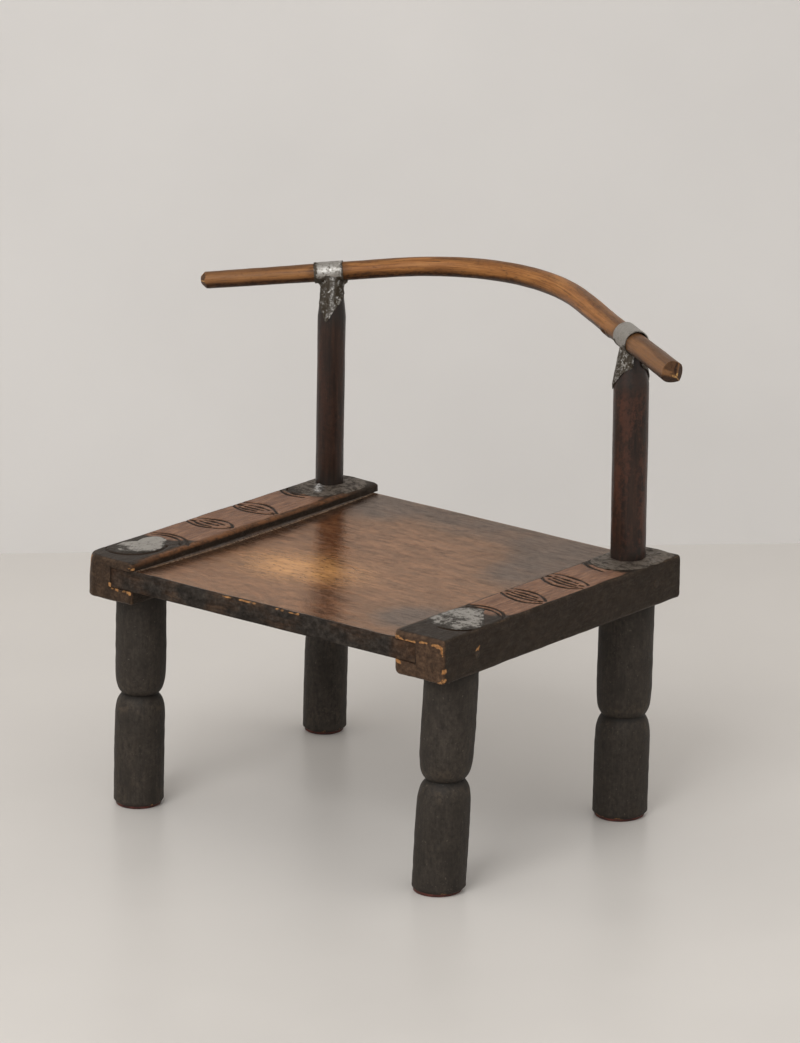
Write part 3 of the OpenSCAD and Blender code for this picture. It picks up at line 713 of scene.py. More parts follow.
# %% Seat masks
# Soft spots: middle (x, y), reach (x, y), strength, and a power of 2 for round or 4 for squarer
GOLDEN_SPOT = (-42.0, -91.0), (58.0, 38.0), 1.0, 2
RIGHT_REAR_SOOT = (152, 78), (62, 92), 0.9, 4
LEFT_REAR_SOOT = (-118, 140), (66, 68), 1.15, 2
SOOT_BY_INLAY = (152, -150), (46, 46), 1.1, 2
MOST_SOFT_SOOT_AND_SHADE = 0.78
# Dark streaks along the grain: x, y, half length, strength
STREAKS = ((-112.0, -119.0, 34.0, 1.0), (58.0, 18.0, 52.0, 0.6), (122.0, -92.0, 30.0, 0.75),
           (-20.0, -14.0, 16.0, 0.5), (-6.0, -173.0, 60.0, 0.6), (-70.0, 86.0, 30.0, 0.45))
STREAK_WIDTH = 1.5


def soft_spot(x, y, middle, reach, strength, power):
    gap = ((x - middle[0]) / reach[0]) ** power + ((y - middle[1]) / reach[1]) ** power
    return strength * np.exp(-gap)


def paint_plank(points, inset, depth, below, splinter):
    x, y, _ = points.T
    along = np.stack([x, 0 * x, 0 * x], 1)
    edge_line = smooth_step(below, 2.9, 1.3) * smooth_step(below, -0.2, 0.6)
    paint(plank, "bare", splinter * smooth_step(inset, 3.4, 1.6) * edge_line)
    past_lip = np.maximum(LIPS[0] - x, x - LIPS[1])
    in_groove = smooth_step(np.abs(x), LIPS[1] - 30, LIPS[1] + 4) * smooth_step(past_lip, -8, 2)
    near_front = smooth_step(inset + 2.4 * lumps(points, (22, 5, 26), 6.3), 7.0, 2.8)
    toward_front = 0.08 * smooth_step(inset + 10 * lumps(points, (60, 20, 20), 5.1), 44.0, 6.0)
    near_rear = 0.8 * smooth_step(depth + 22 * lumps(points, (120, 50, 50), 9.3), 92.0, 8.0)
    # A band of soot and painted shade along the left rail's lip
    by_lip = 0.74 * smooth_step(x + 5 * lumps(points, (20, 40, 20), 2.1), LIPS[0] + 32, LIPS[0] + 7)
    cloudy = 1 + 0.35 * lumps(points, (40, 28, 28), 1.7)
    rear = (near_rear + soft_spot(x, y, *RIGHT_REAR_SOOT)) * cloudy
    left_rear, by_inlay = soft_spot(x, y, *LEFT_REAR_SOOT), soft_spot(x, y, *SOOT_BY_INLAY)
    soft = np.maximum.reduce([rear, left_rear, by_lip, by_inlay])
    soft = np.clip(soft + toward_front, 0, MOST_SOFT_SOOT_AND_SHADE)
    # Painted shade on the plank where it runs under the left lip
    in_lip = smooth_step(x, LIPS[0] + 1.2, LIPS[0] + 0.2)
    paint(plank, "soot_and_shade", np.maximum.reduce([near_front, soft, in_lip, smooth_step(below, 5.0, 9.0)]))
    paint(plank, "butt", in_groove * (0.75 + 0.5 * lumps(points, (9, 9, 9), 6.6)))
    seam = np.exp(-((x - LIPS[0] - 2.0) / 0.9) ** 2)
    paint(plank, "seam", seam * (below < 6) * smooth_step(inset, 2.0, 6.0))
    paint(plank, "golden", soft_spot(x, y, *GOLDEN_SPOT) * (1.0 + 0.5 * lumps(points, (22, 7, 30), 2.9)))
    streak = 0 * x
    for count, (at_x, at_y, half, strength) in enumerate(STREAKS):
        line = at_y + 1.6 * lumps(along, (18, 18, 18), 4.4 + count)
        band = np.exp(-((y - line) / STREAK_WIDTH) ** 2) * smooth_step(np.abs(x - at_x), half, 0.55 * half)
        broken = 0.55 + 0.9 * lumps(points, (9, 9, 9), 8.8 + count)
        streak = np.maximum(streak, strength * band * broken)
    paint(plank, "streak", streak)


paint_plank(*unworn)
complete(plank, SEAT_WOOD, "seat_plank")

# %% [markdown]
# ## The side rails
# Each rail is a beam with a groove for the plank. The section is drawn first, as a plate that is cut
# along the groove's three planes. Its middle inner part is deleted and the rest is pulled out to the
# rail's length, which is how a real groove is left standing between two lips.

# %% Rail section and length
RAIL_ACROSS_PARTS, RAIL_UP_PARTS = 22, 5
RAIL_STEP = 1.6
LIP_SLOPE_WIDTH, LIP_SLOPE_DROP = 7.0, 2.08
groove_floor, groove_top = plank_low[2], plank_high[2]


def start_rail(side):
    """side is left or right. The section stands at the rail's front end."""
    low, high = box_of(f"{side}_side_rail")
    web = plank_low[0] if side == "left" else plank_high[0]
    bpy.ops.object.select_all(action="DESELECT")
    bpy.ops.mesh.primitive_plane_add(
        size=1, rotation=(math.pi / 2, 0, 0),
        location=((low[0] + high[0]) / 2 * MM, low[1] * MM, (low[2] + high[2]) / 2 * MM))
    rail = bpy.context.object
    rail.scale = ((high[0] - low[0]) * MM, (high[2] - low[2]) * MM, 1)
    bpy.ops.object.transform_apply(location=True, rotation=True, scale=True)
    rail.name = f"rail_{side}"
    bpy.ops.object.mode_set(mode="EDIT")
    cuts = (((web, 0, 0), (1, 0, 0)), ((0, 0, groove_floor), (0, 0, 1)), ((0, 0, groove_top), (0, 0, 1)))
    for at, facing in cuts:
        bpy.ops.mesh.select_all(action="SELECT")
        bpy.ops.mesh.bisect(plane_co=[v * MM for v in at], plane_no=facing)
    bpy.context.tool_settings.mesh_select_mode = (False, False, True)
    mesh = bmesh.from_edit_mesh(rail.data)
    for face in mesh.faces:
        middle = face.calc_center_median() / MM
        beyond_web = middle.x > web if side == "left" else middle.x < web
        face.select_set(beyond_web and groove_floor < middle.z < groove_top)
    bmesh.update_edit_mesh(rail.data)
    bpy.ops.mesh.delete(type="FACE")
    bpy.ops.mesh.select_all(action="SELECT")
    bpy.ops.mesh.extrude_region_move(TRANSFORM_OT_translate={"value": (0, (high[1] - low[1]) * MM, 0)})
    bpy.ops.mesh.select_all(action="SELECT")
    bpy.ops.mesh.normals_make_consistent(inside=False)
    bpy.ops.object.mode_set(mode="OBJECT")
    cut_strips(rail, 0, RAIL_ACROSS_PARTS)
    cut_strips(rail, 2, RAIL_UP_PARTS)
    cut_strips(rail, 1, int((high[1] - low[1]) / RAIL_STEP))
    return rail, low, high


# %% [markdown]
# ## The carving
# Both rails carry the same ornament: an oval round the metal over the front leg, a pair of arcs behind
# it, two eye shapes filled with strokes, and a pair of arcs in front of the post. The knife never cut two
# of them alike, so each line is given by the few places it passes through, as (across the rail from its
# outer face, back from its front end), and drawn smoothly through them.
#
# A boolean with a thin tube per line would also work, but it leaves long thin faces that shade badly on
# worn wood. Here the faces near a line are made smaller and their vertices are pressed down.

# %% Carved lines
LINE_WIDTH = 2.0
LINE_DEPTH = 1.7

ORNAMENT = {
    "left": (
        ((2, 29.6), (9, 23.5), (16, 19.6), (23, 18), (32, 21), (43, 30), (50, 42), (52, 52), (50, 62),
         (47, 71)),
        ((7, 92.5), (27, 98), (40, 95.5), (47, 91), (55, 82)),
        ((5, 98), (16, 102.5), (29, 104.5), (48, 98.4), (59, 88.4)),
        ((2, 150.8), (16, 145.9), (29, 145.3), (38, 147.6), (55, 156.5)),
        ((4, 166), (17, 171.4), (29, 173.7), (40, 172.6), (49, 167.5), (55, 160.5)),
        ((10, 154), (22, 151), (34, 151.6)), ((13, 159.4), (26, 158), (38, 158.4)),
        ((14, 165), (27, 165.5), (42, 163.2)),
        ((2, 222.7), (16, 216.6), (29, 214.9), (38, 216), (55, 224)),
        ((2, 238), (16, 243.8), (29, 244.3), (38, 241.6), (47, 236), (56, 229.3)),
        ((10, 223), (22, 221.2), (34, 221.6)), ((13, 228.4), (26, 227.6), (38, 227.8)),
        ((14, 234.3), (27, 235), (42, 232.4)),
        ((3, 295.7), (16, 290), (25, 289), (38, 291.5)),
        ((3, 305.7), (16, 297.3), (25, 295.7), (37, 301)),
    ),
    "right": (
        ((33, 33.5), (22, 33.8), (12, 38.5), (4, 46)),
        ((54, 102.5), (44, 106.5), (36, 108), (27, 107), (18, 104), (9, 97)),
        ((59, 108), (48, 113.6), (40, 114.8), (23, 112.4), (12, 106), (4, 95)),
        ((61, 162), (47, 154), (35, 150.3), (22, 149.8), (12, 153), (6, 157.5)),
        ((60, 177.5), (47, 179.6), (35, 180), (22, 176.4), (13, 171), (7, 165)),
        ((52, 161.5), (40, 159.3), (24, 158.6), (14, 160)), ((50, 167), (36, 165.2), (18, 164)),
        ((50, 171.5), (36, 171.6), (20, 169)),
        ((61, 227), (48, 217), (36, 213), (25, 211.8), (13, 216), (6, 222)),
        ((60, 241.6), (43, 244), (25, 241.4), (14, 238), (8, 234)),
        ((51, 226), (38, 222), (22, 220.4), (13, 222)), ((49, 231), (34, 227.4), (17, 226)),
        ((50, 236), (36, 234.4), (20, 232)),
        ((62, 294.4), (49, 285.6), (36, 281), (24, 278.8)),
        ((62, 304.2), (49, 295.6), (36, 290), (24, 288.2)),
    ),
}
# Short wedges, cut where an eye runs out: (across, back, half length, half width)
WEDGES = {"left": ((52, 160.5, 4, 1.8), (6, 156, 4, 2.2), (52.5, 227, 4, 1.8), (6, 229.5, 4, 2.4)),
          "right": ((57, 168.5, 4.5, 2.6), (11, 161.6, 4, 2.2), (57, 232.6, 4.5, 2.6), (12, 228, 3.5, 2))}


def curve(places, parts=16):
    """A smooth line near a few places: a polynomial of the run along them."""
    places = np.array(places, float)
    run = np.concatenate([[0], np.cumsum(np.hypot(*np.diff(places, axis=0).T))])
    fine = np.linspace(0, run[-1], parts)
    degree = min(4, len(places) - 1)
    return np.stack([np.polyval(np.polyfit(run, places[:, k], degree), fine) for k in (0, 1)], 1)


def gap_to(points, line):
    """Distance from each point to a line, and how far along the line it is, from 0 to 1."""
    best, where = np.full(len(points), 1e9), np.zeros(len(points))
    for step, (start, end) in enumerate(zip(line[:-1], line[1:])):
        run = end - start
        share = np.clip((points - start) @ run / (run @ run), 0, 1)
        gap = np.hypot(*(points - start - share[:, None] * run).T)
        nearer = gap < best
        best[nearer], where[nearer] = gap[nearer], (step + share[nearer]) / (len(line) - 1)
    return best, where


def carving(side, across, back):
    """How deep the ornament is cut at each point of a rail's top, from 0 to 1."""
    depth = np.zeros(len(across))
    tremble = 0.4 * lumps(np.stack([across, back, 0 * back], 1), (7, 7, 7), 4.6)
    points = np.stack([across, back + tremble], 1)
    for number, places in enumerate(ORNAMENT[side]):
        gap, where = gap_to(points, curve(places))
        strength = 0.85 + 0.35 * math.sin(5.1 * number) * np.sin(3.3 * where * math.pi + number)
        thinning = 0.55 + 0.45 * np.sin(math.pi * np.clip(0.12 + 0.76 * where, 0, 1))
        depth = np.maximum(depth, strength * np.exp(-(gap / (LINE_WIDTH * thinning)) ** 2))
    for at_across, at_back, half_length, half_width in WEDGES[side]:
        gap = np.hypot((across - at_across) / half_length, (back + tremble - at_back) / half_width)
        depth = np.maximum(depth, np.exp(-gap ** 4))
    return depth


# %% [markdown]
# ## Wearing and painting a rail
# Each rail is worn in its own measures: across from its outer face, back from its front end and up from
# its underside. In these, both sides are the same rail, and every edge is a pair of depths to round. The
# outer front corner of the left rail has been knocked round, more towards its top.

# %% Rail edges
# Radii of a rail's edges. upright: front outer, front inner and rear. The others: at the top, at the foot
RAIL_EDGES = {
    "left": {"upright": (12.5, 3.2, 3.0), "front": (3.6, 4.6), "rear": (2.4, 9.0),
             "outer": (2.2, 3.4), "inner": (1.6, 4.5)},
    "right": {"upright": (3.2, 7.5, 3.0), "front": (5.0, 3.2), "rear": (2.4, 11.0),
              "outer": (3.6, 3.0), "inner": (1.8, 6.0)},
}
KNOCKED, KNOCK_REACH = {"left": 3.0, "right": 0.0}, 16
# The largest radius that a lip is thick enough for, and the largest elsewhere
LIP_ROUNDEST, ROUNDEST = 7.6, 30.0


def wear_edges(side, start, size):
    """Rounds every edge of a rail by its own radius. Also gives how far each vertex has moved."""
    width, length, height = size
    across, back, up = start.T
    front, outer, top = back < length / 2, across < width / 2, up > height / 2
    depths = np.stack([np.where(front, back, length - back), np.where(outer, across, width - across),
                       np.where(top, height - up, up)])
    radii = RAIL_EDGES[side]
    upright = np.where(front, np.where(outer, *radii["upright"][:2]), radii["upright"][2])
    ends = np.where(front, np.where(top, *radii["front"]), np.where(top, *radii["rear"]))
    along = np.where(outer, np.where(top, *radii["outer"]), np.where(top, *radii["inner"]))
    from_corner = np.linalg.norm(depths, axis=0)
    knocked = KNOCKED[side] * np.exp(-(from_corner / KNOCK_REACH) ** 2) * (front & outer & top)
    uneven = 1 + 0.25 * lumps(start, (24, 24, 24), 3.7)
    limit = np.where(across > width - 40, LIP_ROUNDEST, ROUNDEST)
    radii = [np.minimum(radius * uneven + knocked, limit) for radius in (upright, ends, along)]
    moved = soften(depths, radii)
    back = np.where(front, moved[0], length - moved[0])
    across = np.where(outer, moved[1], width - moved[1])
    up = np.where(top, height - moved[2], moved[2])
    return across, back, up, np.linalg.norm(moved - depths, axis=0)


def shape_rail(side):
    rail, low, high = start_rail(side)
    size = width, _, height = high - low

    def measures(points):
        across = points[:, 0] - low[0] if side == "left" else high[0] - points[:, 0]
        return across, points[:, 1] - low[1], points[:, 2] - low[2]

    def on_line(middles):
        across, back, up = measures(middles)
        return (up > height - 1) & (carving(side, across, back) > 0.05)

    refine(rail, on_line, 2)
    refine(rail, lambda middles: measures(middles)[1] < 9, 1)
    start = np.stack(measures(points_of(rail)), 1)
    lines = carving(side, start[:, 0], start[:, 1]) * (start[:, 2] > height - 0.01)
    across, back, up, moved = wear_edges(side, start, size)
    slope = smooth_step(across, width - LIP_SLOPE_WIDTH, width + 4)
    up -= LIP_SLOPE_DROP * slope * smooth_step(start[:, 2], groove_top - low[2] - 1, height)
    up -= LINE_DEPTH * lines
    x = low[0] + across if side == "left" else high[0] - across
    set_points(rail, np.stack([x, low[1] + back, low[2] + up], 1))
    hew(rail, 0.45, (26, 60, 18), 2.3)
    hew(rail, 0.2, (7, 14, 6), 6.1)
    paint_rail(rail, side, start, lines, moved, size)
    return rail


# %% [markdown]
# ### Where the stain has gone
# The chips follow what the photograph shows: an irregular ribbon below the right rail's front top edge,
# a patch on the left rail's outer corner, and a few splinters along the lower joint with the plank. Each
# is a short thick line on the front end, as (across, up) places with its half width.

# %% Rail masks
# Where each top is worn, from front to rear, and how far its dark outer rim reaches in
WORN_SPAN = {"left": (94.0, 300.0), "right": (104.0, 290.0)}
DARK_RIM = {"left": 2.5, "right": 5.0}
# How warm the worn inner edge is, and how blotched the end grain of the front end
WARM_EDGE = {"left": 1.0, "right": 0.3}
BUTT_SHARE = {"left": 0.5, "right": 1.1}
CHIPS = {
    "left": (((1, 28), (2.5, 35), (4, 40), 3.0), ((33, 18.2), (38, 15.2), (44, 13.6), 1.4),
             ((52, 13.8), (61, 12.5), 1.5), ((60, 39.5), (63, 38), 1.0)),
    "right": (((63, 36.8), (56, 36), (50, 33.2), 3.0), ((60, 32.3), (54, 30.6), 1.8),
              ((46, 35.6), (41, 34.6), (36, 36.8), 1.5), ((29, 37.4), (20, 38.2), 0.8),
              ((13, 37.8), (6, 38), (2.5, 36.4), 1.5), ((1.5, 33), (1.5, 29), 1.0),
              ((61, 14), (54, 12.6), 1.6), ((0.5, 4.5), (3, 1.5), (6, 0.5), 1.4), ((1, 15), (1, 12), 0.8)),
}
# The chip over the right rail's front peg, as (back, up), and its half sizes
PEG_CHIP, PEG_CHIP_HALF = (52.5, 24.0), (3.8, 3.0)


def paint_rail(rail, side, start, lines, moved, size):
    width, length, height = size
    across, back, up = start.T
    low_z = box_of(f"{side}_side_rail")[0][2]
    web_across = plank_low[0] - box_of("left_side_rail")[0][0] if side == "left" else (
        box_of("right_side_rail")[1][0] - plank_high[0])
    is_top = smooth_step(up, height - 2.0, height - 0.5) * smooth_step(across, 1.5, DARK_RIM[side])
    first, last = WORN_SPAN[side]
    wavy = back + 14 * lumps(start, (24, 40, 30), 9.9)
    span = smooth_step(wavy, first - 16, first + 10) * smooth_step(wavy, last + 16, last - 16)
    arris = smooth_step(across, width - 6.5, width - 3.5) * smooth_step(up, height - 2.6, height - 1.4)
    in_span = smooth_step(back, 6, 30) * smooth_step(back, length - 24, length - 90)
    paint(rail, "worn", is_top * span * (1 - 0.7 * arris))
    warm = arris * in_span * (0.75 + 0.6 * lumps(start, (12, 30, 12), 5.5))
    reddish = smooth_step(across, width - 1.0, width) * smooth_step(up, height - 6, height - 2)
    reddish = 0.4 * reddish * smooth_step(back, 120, 10) * (side == "left")
    paint(rail, "warm", np.maximum(WARM_EDGE[side] * warm, reddish))
    from_web = across - web_across - 1.3 * lumps(start, (6, 6, 6), 7.1)
    above_floor = up - (groove_floor - low_z)
    crack = np.exp(-from_web ** 2) * (back < 5) * smooth_step(above_floor, -1.5, 1)
    crack = crack * (up < groove_top - low_z + 1)
    # The carved lines get dirt and painted shade; the crack is the dark joint with the plank
    paint(rail, "carved", np.maximum(lines, 0.9 * crack))
    paint(rail, "edge", smooth_step(moved, 0.35, 1.2) * (0.35 + 0.7 * lumps(start, (9, 14, 9), 8.3)))
    butt = BUTT_SHARE[side] * (0.9 + 0.35 * lumps(start, (16, 16, 16), 3.9))
    paint(rail, "butt", butt * smooth_step(back, 4.0, 1.5))
    bare = 0 * back
    face = np.stack([across, up], 1) + 0.9 * lumps(start, (5, 5, 5), 2.8)[:, None]
    for *places, half in CHIPS[side]:
        gap, _ = gap_to(face, np.array(places, float))
        bare = np.maximum(bare, smooth_step(gap, 1.8 * half, 0.4 * half) * smooth_step(back, 6.5, 4.0))
    if side == "right":
        behind, above = back - PEG_CHIP[0], up - PEG_CHIP[1]
        chip = np.hypot(behind / PEG_CHIP_HALF[0], (above - 0.4 * (behind + 1.5)) / PEG_CHIP_HALF[1])
        bare = np.maximum(bare, smooth_step(chip, 1.2, 0.5) * (across < 3))
    paint(rail, "bare", bare)


rails = {side: shape_rail(side) for side in ("left", "right")}
for side, rail in rails.items():
    complete(rail, RAIL_WOOD, f"{side}_side_rail", angle=60)

# %% [markdown]
# ## The legs
# Each leg was cut from a round billet: a neck is chopped in at mid height and its shoulders are rounded
# down to it. They were never on a lathe, so each one has faint flats, leans its own way and has its neck
# at its own height. A cylinder is the right start, and its rings are then drawn in.

# %% One leg
LEG_SIDES, LEG_STEP, FINE_BY_NECK = 80, 2.2, 11
NECK_FADE = {"front_left": 6.4, "front_right": 7.0, "rear_left": 7.5, "rear_right": 7.0}
SHOULDER_FROM_NECK = 11
FOOT_ROUND = 2.2
# How much the legs are rubbed near the floor, and how much their lower half is shaded
LOW_RUB, LOW_SHADE = {"left": 1.0, "right": 0.4}, {"left": 0.0, "right": 0.2}
PAD_TOP = box_of("front_left_foot_pad")[1][2]
RAIL_UNDER = box_of("left_side_rail")[0][2]
LEGS = ("front_left", "front_right", "rear_left", "rear_right")


def neck_of(node, foot, top):
    """Height and radius of a leg's neck: the solid's vertices that are nearest to its middle line."""
    points = points_of(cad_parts[node])
    points = points[np.abs(points[:, 2] - (PAD_TOP + RAIL_UNDER) / 2) < 25]
    share = (points[:, 2] - PAD_TOP) / (RAIL_UNDER - PAD_TOP)
    middle = foot[None, :2] + (top - foot)[None, :2] * share[:, None]
    reach = np.hypot(*(points[:, :2] - middle).T)
    return float(points[reach < reach.min() + 0.1, 2].mean()), float(reach.min())


def lay_round(piece, middle, radius, angle, height):
    """Lays a bar's vertices round a leaning middle line, at their radius, angle and height."""
    x, y = middle[:, 0] + radius * np.cos(angle), middle[:, 1] + radius * np.sin(angle)
    set_points(piece, np.stack([x, y, height], 1))


def shape_leg(place, seed):
    node, side = f"{place}_leg", place.split("_")[1]
    top, girth = ring_of(node, RAIL_UNDER)
    foot, _ = ring_of(node, PAD_TOP)
    neck_height, neck = neck_of(node, foot, top)
    leg = start_bar(f"leg_{place}", girth, PAD_TOP, RAIL_UNDER + 1.0, LEG_SIDES)
    cut_strips(leg, 2, int((RAIL_UNDER - PAD_TOP) / LEG_STEP))
    refine(leg, lambda middles: np.abs(middles[:, 2] - neck_height) < FINE_BY_NECK, 1)
    points = points_of(leg)
    x, y, z = points.T
    angle, reach = np.arctan2(y, x), np.hypot(x, y) / girth
    ring = np.stack([20 * np.cos(angle), 20 * np.sin(angle), 0 * z], 1)
    away = np.abs(z - neck_height + 0.8 * lumps(ring, (22, 22, 22), seed))
    radius = girth - (girth - neck) * np.exp(-away / NECK_FADE[place])
    inset = np.clip(FOOT_ROUND - (z - PAD_TOP), 0, FOOT_ROUND)
    radius -= FOOT_ROUND - np.sqrt(FOOT_ROUND ** 2 - inset ** 2)
    rough = smooth_step(away, 2, 16)
    radius += 0.5 * rough * lumps(points, (13, 13, 60), seed + 1.3)
    radius += 0.2 * lumps(points, (6, 6, 12), seed + 4.1)
    radius += 0.3 * rough * lumps(points, (20, 20, 9), seed + 7.7)
    share = (z - PAD_TOP) / (RAIL_UNDER - PAD_TOP)
    middle = foot[None, :2] + (top - foot)[None, :2] * share[:, None]
    lay_round(leg, middle, radius * reach, angle, z)
    paint_leg(leg, side, points, away, seed)
    print(place, "neck at", round(neck_height, 1), "radius", round(neck, 1))
    return leg


def paint_leg(leg, side, points, away, seed):
    """away is the distance along the leg from its neck."""
    z = points[:, 2]
    low_rub = 0.16 + 0.9 * lumps(points, (14, 14, 26), seed + 2.0)
    low_rub = LOW_RUB[side] * smooth_step(z, 95, 12) * low_rub
    shoulder = np.exp(-((away - SHOULDER_FROM_NECK) / 7) ** 2)
    paint(leg, "worn", np.maximum(low_rub, shoulder * (0.35 + 0.7 * lumps(points, (9, 9, 9), seed))))
    # Painted shade in the neck's crease, just under the rail and on the lower half of the right legs
    in_neck = 0.9 * np.exp(-(away / 2.6) ** 2)
    by_rail = 0.55 * smooth_step(z, RAIL_UNDER - 14, RAIL_UNDER)
    paint(leg, "soot_and_shade", np.maximum.reduce([in_neck, by_rail, LOW_SHADE[side] * smooth_step(z, 150, 70)]))
    at_foot = 0.8 * smooth_step(z, PAD_TOP + 4, PAD_TOP + 1)
    paint(leg, "bare", at_foot * (0.3 + lumps(points, (6, 6, 6), seed)))


for count, place in enumerate(LEGS):
    complete(shape_leg(place, 11.0 + 5.3 * count), LEG_WOOD, f"{place}_leg")

# %% [markdown]
# ## The foot pads
# A dark red-brown rim shows under each foot, a little smaller than the leg. It is a short cylinder with
# its edges rounded over by the bevel tool.

# %% Foot pads


def shape_pad(place):
    low, high = box_of(f"{place}_foot_pad")
    radius = (high[0] - low[0]) / 2
    pad = start_bar(f"pad_{place}", radius, low[2], high[2] + 0.6, 56)
    pick_edges(pad, lambda edge: not runs_along(edge, 2))
    bpy.ops.mesh.bevel(offset=1.1 * MM, segments=4, affect="EDGES")
    bpy.ops.object.mode_set(mode="OBJECT")
    points = points_of(pad)
    points[:, :2] += ((low + high) / 2)[:2]
    set_points(pad, points)
    return pad


for place in LEGS:
    complete(shape_pad(place), PAD_LEATHER, f"{place}_foot_pad")

# %% [markdown]
# ## The back posts
# Two straight sticks, smooth from hands, that narrow where the metal grips them. The left one is thinner
# than the right, and both lean a hair to the right. They stand in the metal on the rails, so each starts
# a little below the rail's top.

# %% Back posts
POST_SIDES, POST_STEP = 72, 3.0
POST_TAPER, POST_TIP_RADIUS = 46.0, 9.5
POST_RED = {"left": 0.35, "right": 0.85}
ROD_HEIGHT = 496.0
RAIL_TOP = box_of("left_side_rail")[1][2]
POST_FOOT = RAIL_TOP - 1.5


def post_place(side):
    """Middle and radius of a post at its foot."""
    return ring_of(f"{side}_back_post", POST_FOOT)


def post_middle(side, height):
    """Middle of a post at each height, along the line from its foot to where it starts to narrow."""
    foot, _ = post_place(side)
    shoulder, _ = ring_of(f"{side}_back_post", ROD_HEIGHT - POST_TAPER, band=1.6)
    share = (np.asarray(height) - foot[2]) / (shoulder[2] - foot[2])
    return foot[None, :2] + (shoulder - foot)[None, :2] * share[:, None]


def post_radius(girth, height, top):
    taper = np.clip((height - (top - POST_TAPER)) / POST_TAPER, 0, 1)
    return girth + (POST_TIP_RADIUS - girth) * taper


def shape_post(side, seed):
    _, girth = post_place(side)
    post = start_bar(f"post_{side}", girth, POST_FOOT, ROD_HEIGHT, POST_SIDES)
    cut_strips(post, 2, int((ROD_HEIGHT - RAIL_TOP) / POST_STEP))
    points = points_of(post)
    x, y, z = points.T
    angle, reach = np.arctan2(y, x), np.hypot(x, y) / girth
    radius = post_radius(girth, z, ROD_HEIGHT)
    radius = radius + 0.35 * lumps(points, (12, 12, 70), seed)
    radius = radius + 0.15 * lumps(points, (4, 4, 20), seed + 3.0)
    lay_round(post, post_middle(side, z), radius * reach, angle, z)
    paint(post, "worn", POST_RED[side] + 0.7 * lumps(points, (14, 14, 60), seed + 2.0))
    low_end = smooth_step(z, RAIL_TOP + 26, RAIL_TOP + 4)
    paint(post, "soot_and_shade", 0.6 * np.maximum(low_end, smooth_step(z, ROD_HEIGHT - 62, ROD_HEIGHT - 44)))
    paint(post, "bare", 0 * z)
    return post


for side, seed in (("left", 3.0), ("right", 17.0)):
    complete(shape_post(side, seed), POST_WOOD, f"{side}_back_post")

# %% [markdown]
# ## The bowed rod
# A natural bend: two straight arms and one arc, rising towards the back. It is thinner at the left tip
# than at the right, and both tips were whittled with a few knife strokes. The easy way to shape it is
# while it is still straight. Knots, flats and whittled tips are set first, and a formula then bends the
# finished bar over the two posts.

# %% The rod's line
LEFT_ARM_ANGLE = math.radians(36.7)
RIGHT_ARM_ANGLE = math.radians(29.6)
ROD_TILT = math.tan(math.radians(8.0))
BEND_RADIUS = 214.0
LEFT_OVERHANG, RIGHT_OVERHANG = 135.0, 107.0
ROD_LEFT_RADIUS, ROD_RIGHT_RADIUS = 8.9, 12.3

left_post = post_place("left")[0][:2]
right_post = post_place("right")[0][:2]
left_way = np.array([math.cos(LEFT_ARM_ANGLE), math.sin(LEFT_ARM_ANGLE)])
right_way = np.array([math.cos(RIGHT_ARM_ANGLE), -math.sin(RIGHT_ARM_ANGLE)])
to_corner = np.linalg.solve(np.stack([left_way, right_way], 1), right_post - left_post)
bend_angle = LEFT_ARM_ANGLE + RIGHT_ARM_ANGLE
bend_tangent = BEND_RADIUS * math.tan(bend_angle / 2)
left_straight = LEFT_OVERHANG + to_corner[0] - bend_tangent
bend_length = BEND_RADIUS * bend_angle
rod_length = left_straight + bend_length + to_corner[1] - bend_tangent + RIGHT_OVERHANG
left_tip = left_post - LEFT_OVERHANG * left_way
bend_start = left_tip + left_straight * left_way
bend_middle = bend_start + BEND_RADIUS * np.array([left_way[1], -left_way[0]])
bend_end = bend_middle + BEND_RADIUS * np.array([-right_way[1], right_way[0]])
post_line = (left_post[1] + right_post[1]) / 2
print("rod length", round(rod_length, 1), "mm, bend starts at", np.round(bend_start, 1))


def rod_frame(run):
    """Middle line, direction, side and up of the rod at each run from its left tip."""
    turn = np.clip((run - left_straight) / bend_length, 0, 1)
    angle = LEFT_ARM_ANGLE - turn * bend_angle
    on_left = left_tip + run[:, None] * left_way
    on_right = bend_end + (run - left_straight - bend_length)[:, None] * right_way
    on_bend = bend_middle + BEND_RADIUS * np.stack([-np.sin(angle), np.cos(angle)], 1)
    plan = np.where((turn <= 0)[:, None], on_left, np.where((turn >= 1)[:, None], on_right, on_bend))
    middle = np.column_stack([plan, ROD_HEIGHT + ROD_TILT * (plan[:, 1] - post_line)])
    forward = np.stack([np.cos(angle), np.sin(angle), ROD_TILT * np.sin(angle)], 1)
    forward /= np.linalg.norm(forward, axis=1)[:, None]
    aside = np.stack([-np.sin(angle), np.cos(angle), 0 * angle], 1)
    return middle, forward, aside, np.cross(forward, aside)


def round_rod(run, radius, angle):
    """Points at a radius and an angle round the rod's middle line, and the line's direction there."""
    middle, forward, aside, up = rod_frame(run)
    outward = np.cos(angle)[:, None] * aside + np.sin(angle)[:, None] * up
    return middle + radius[:, None] * outward, forward


def rod_radius(run):
    return ROD_LEFT_RADIUS + (ROD_RIGHT_RADIUS - ROD_LEFT_RADIUS) * run / rod_length


# %% [markdown]
# ### Knife cuts and the knot
# Each cut at a tip is a plane, and the bar's end is laid on whichever plane lies deepest. Where two of
# them meet there is a ridge, which hands have rubbed bare.

# %% Knife cuts and the knot
ROD_SIDES, ROD_STEP, FINE_AT_TIPS = 72, 2.0, 3
# The bar's ends are drawn in to a point over this length, then drawn back to the knife cuts
CAP, DRAWN = 8.0, 16.0
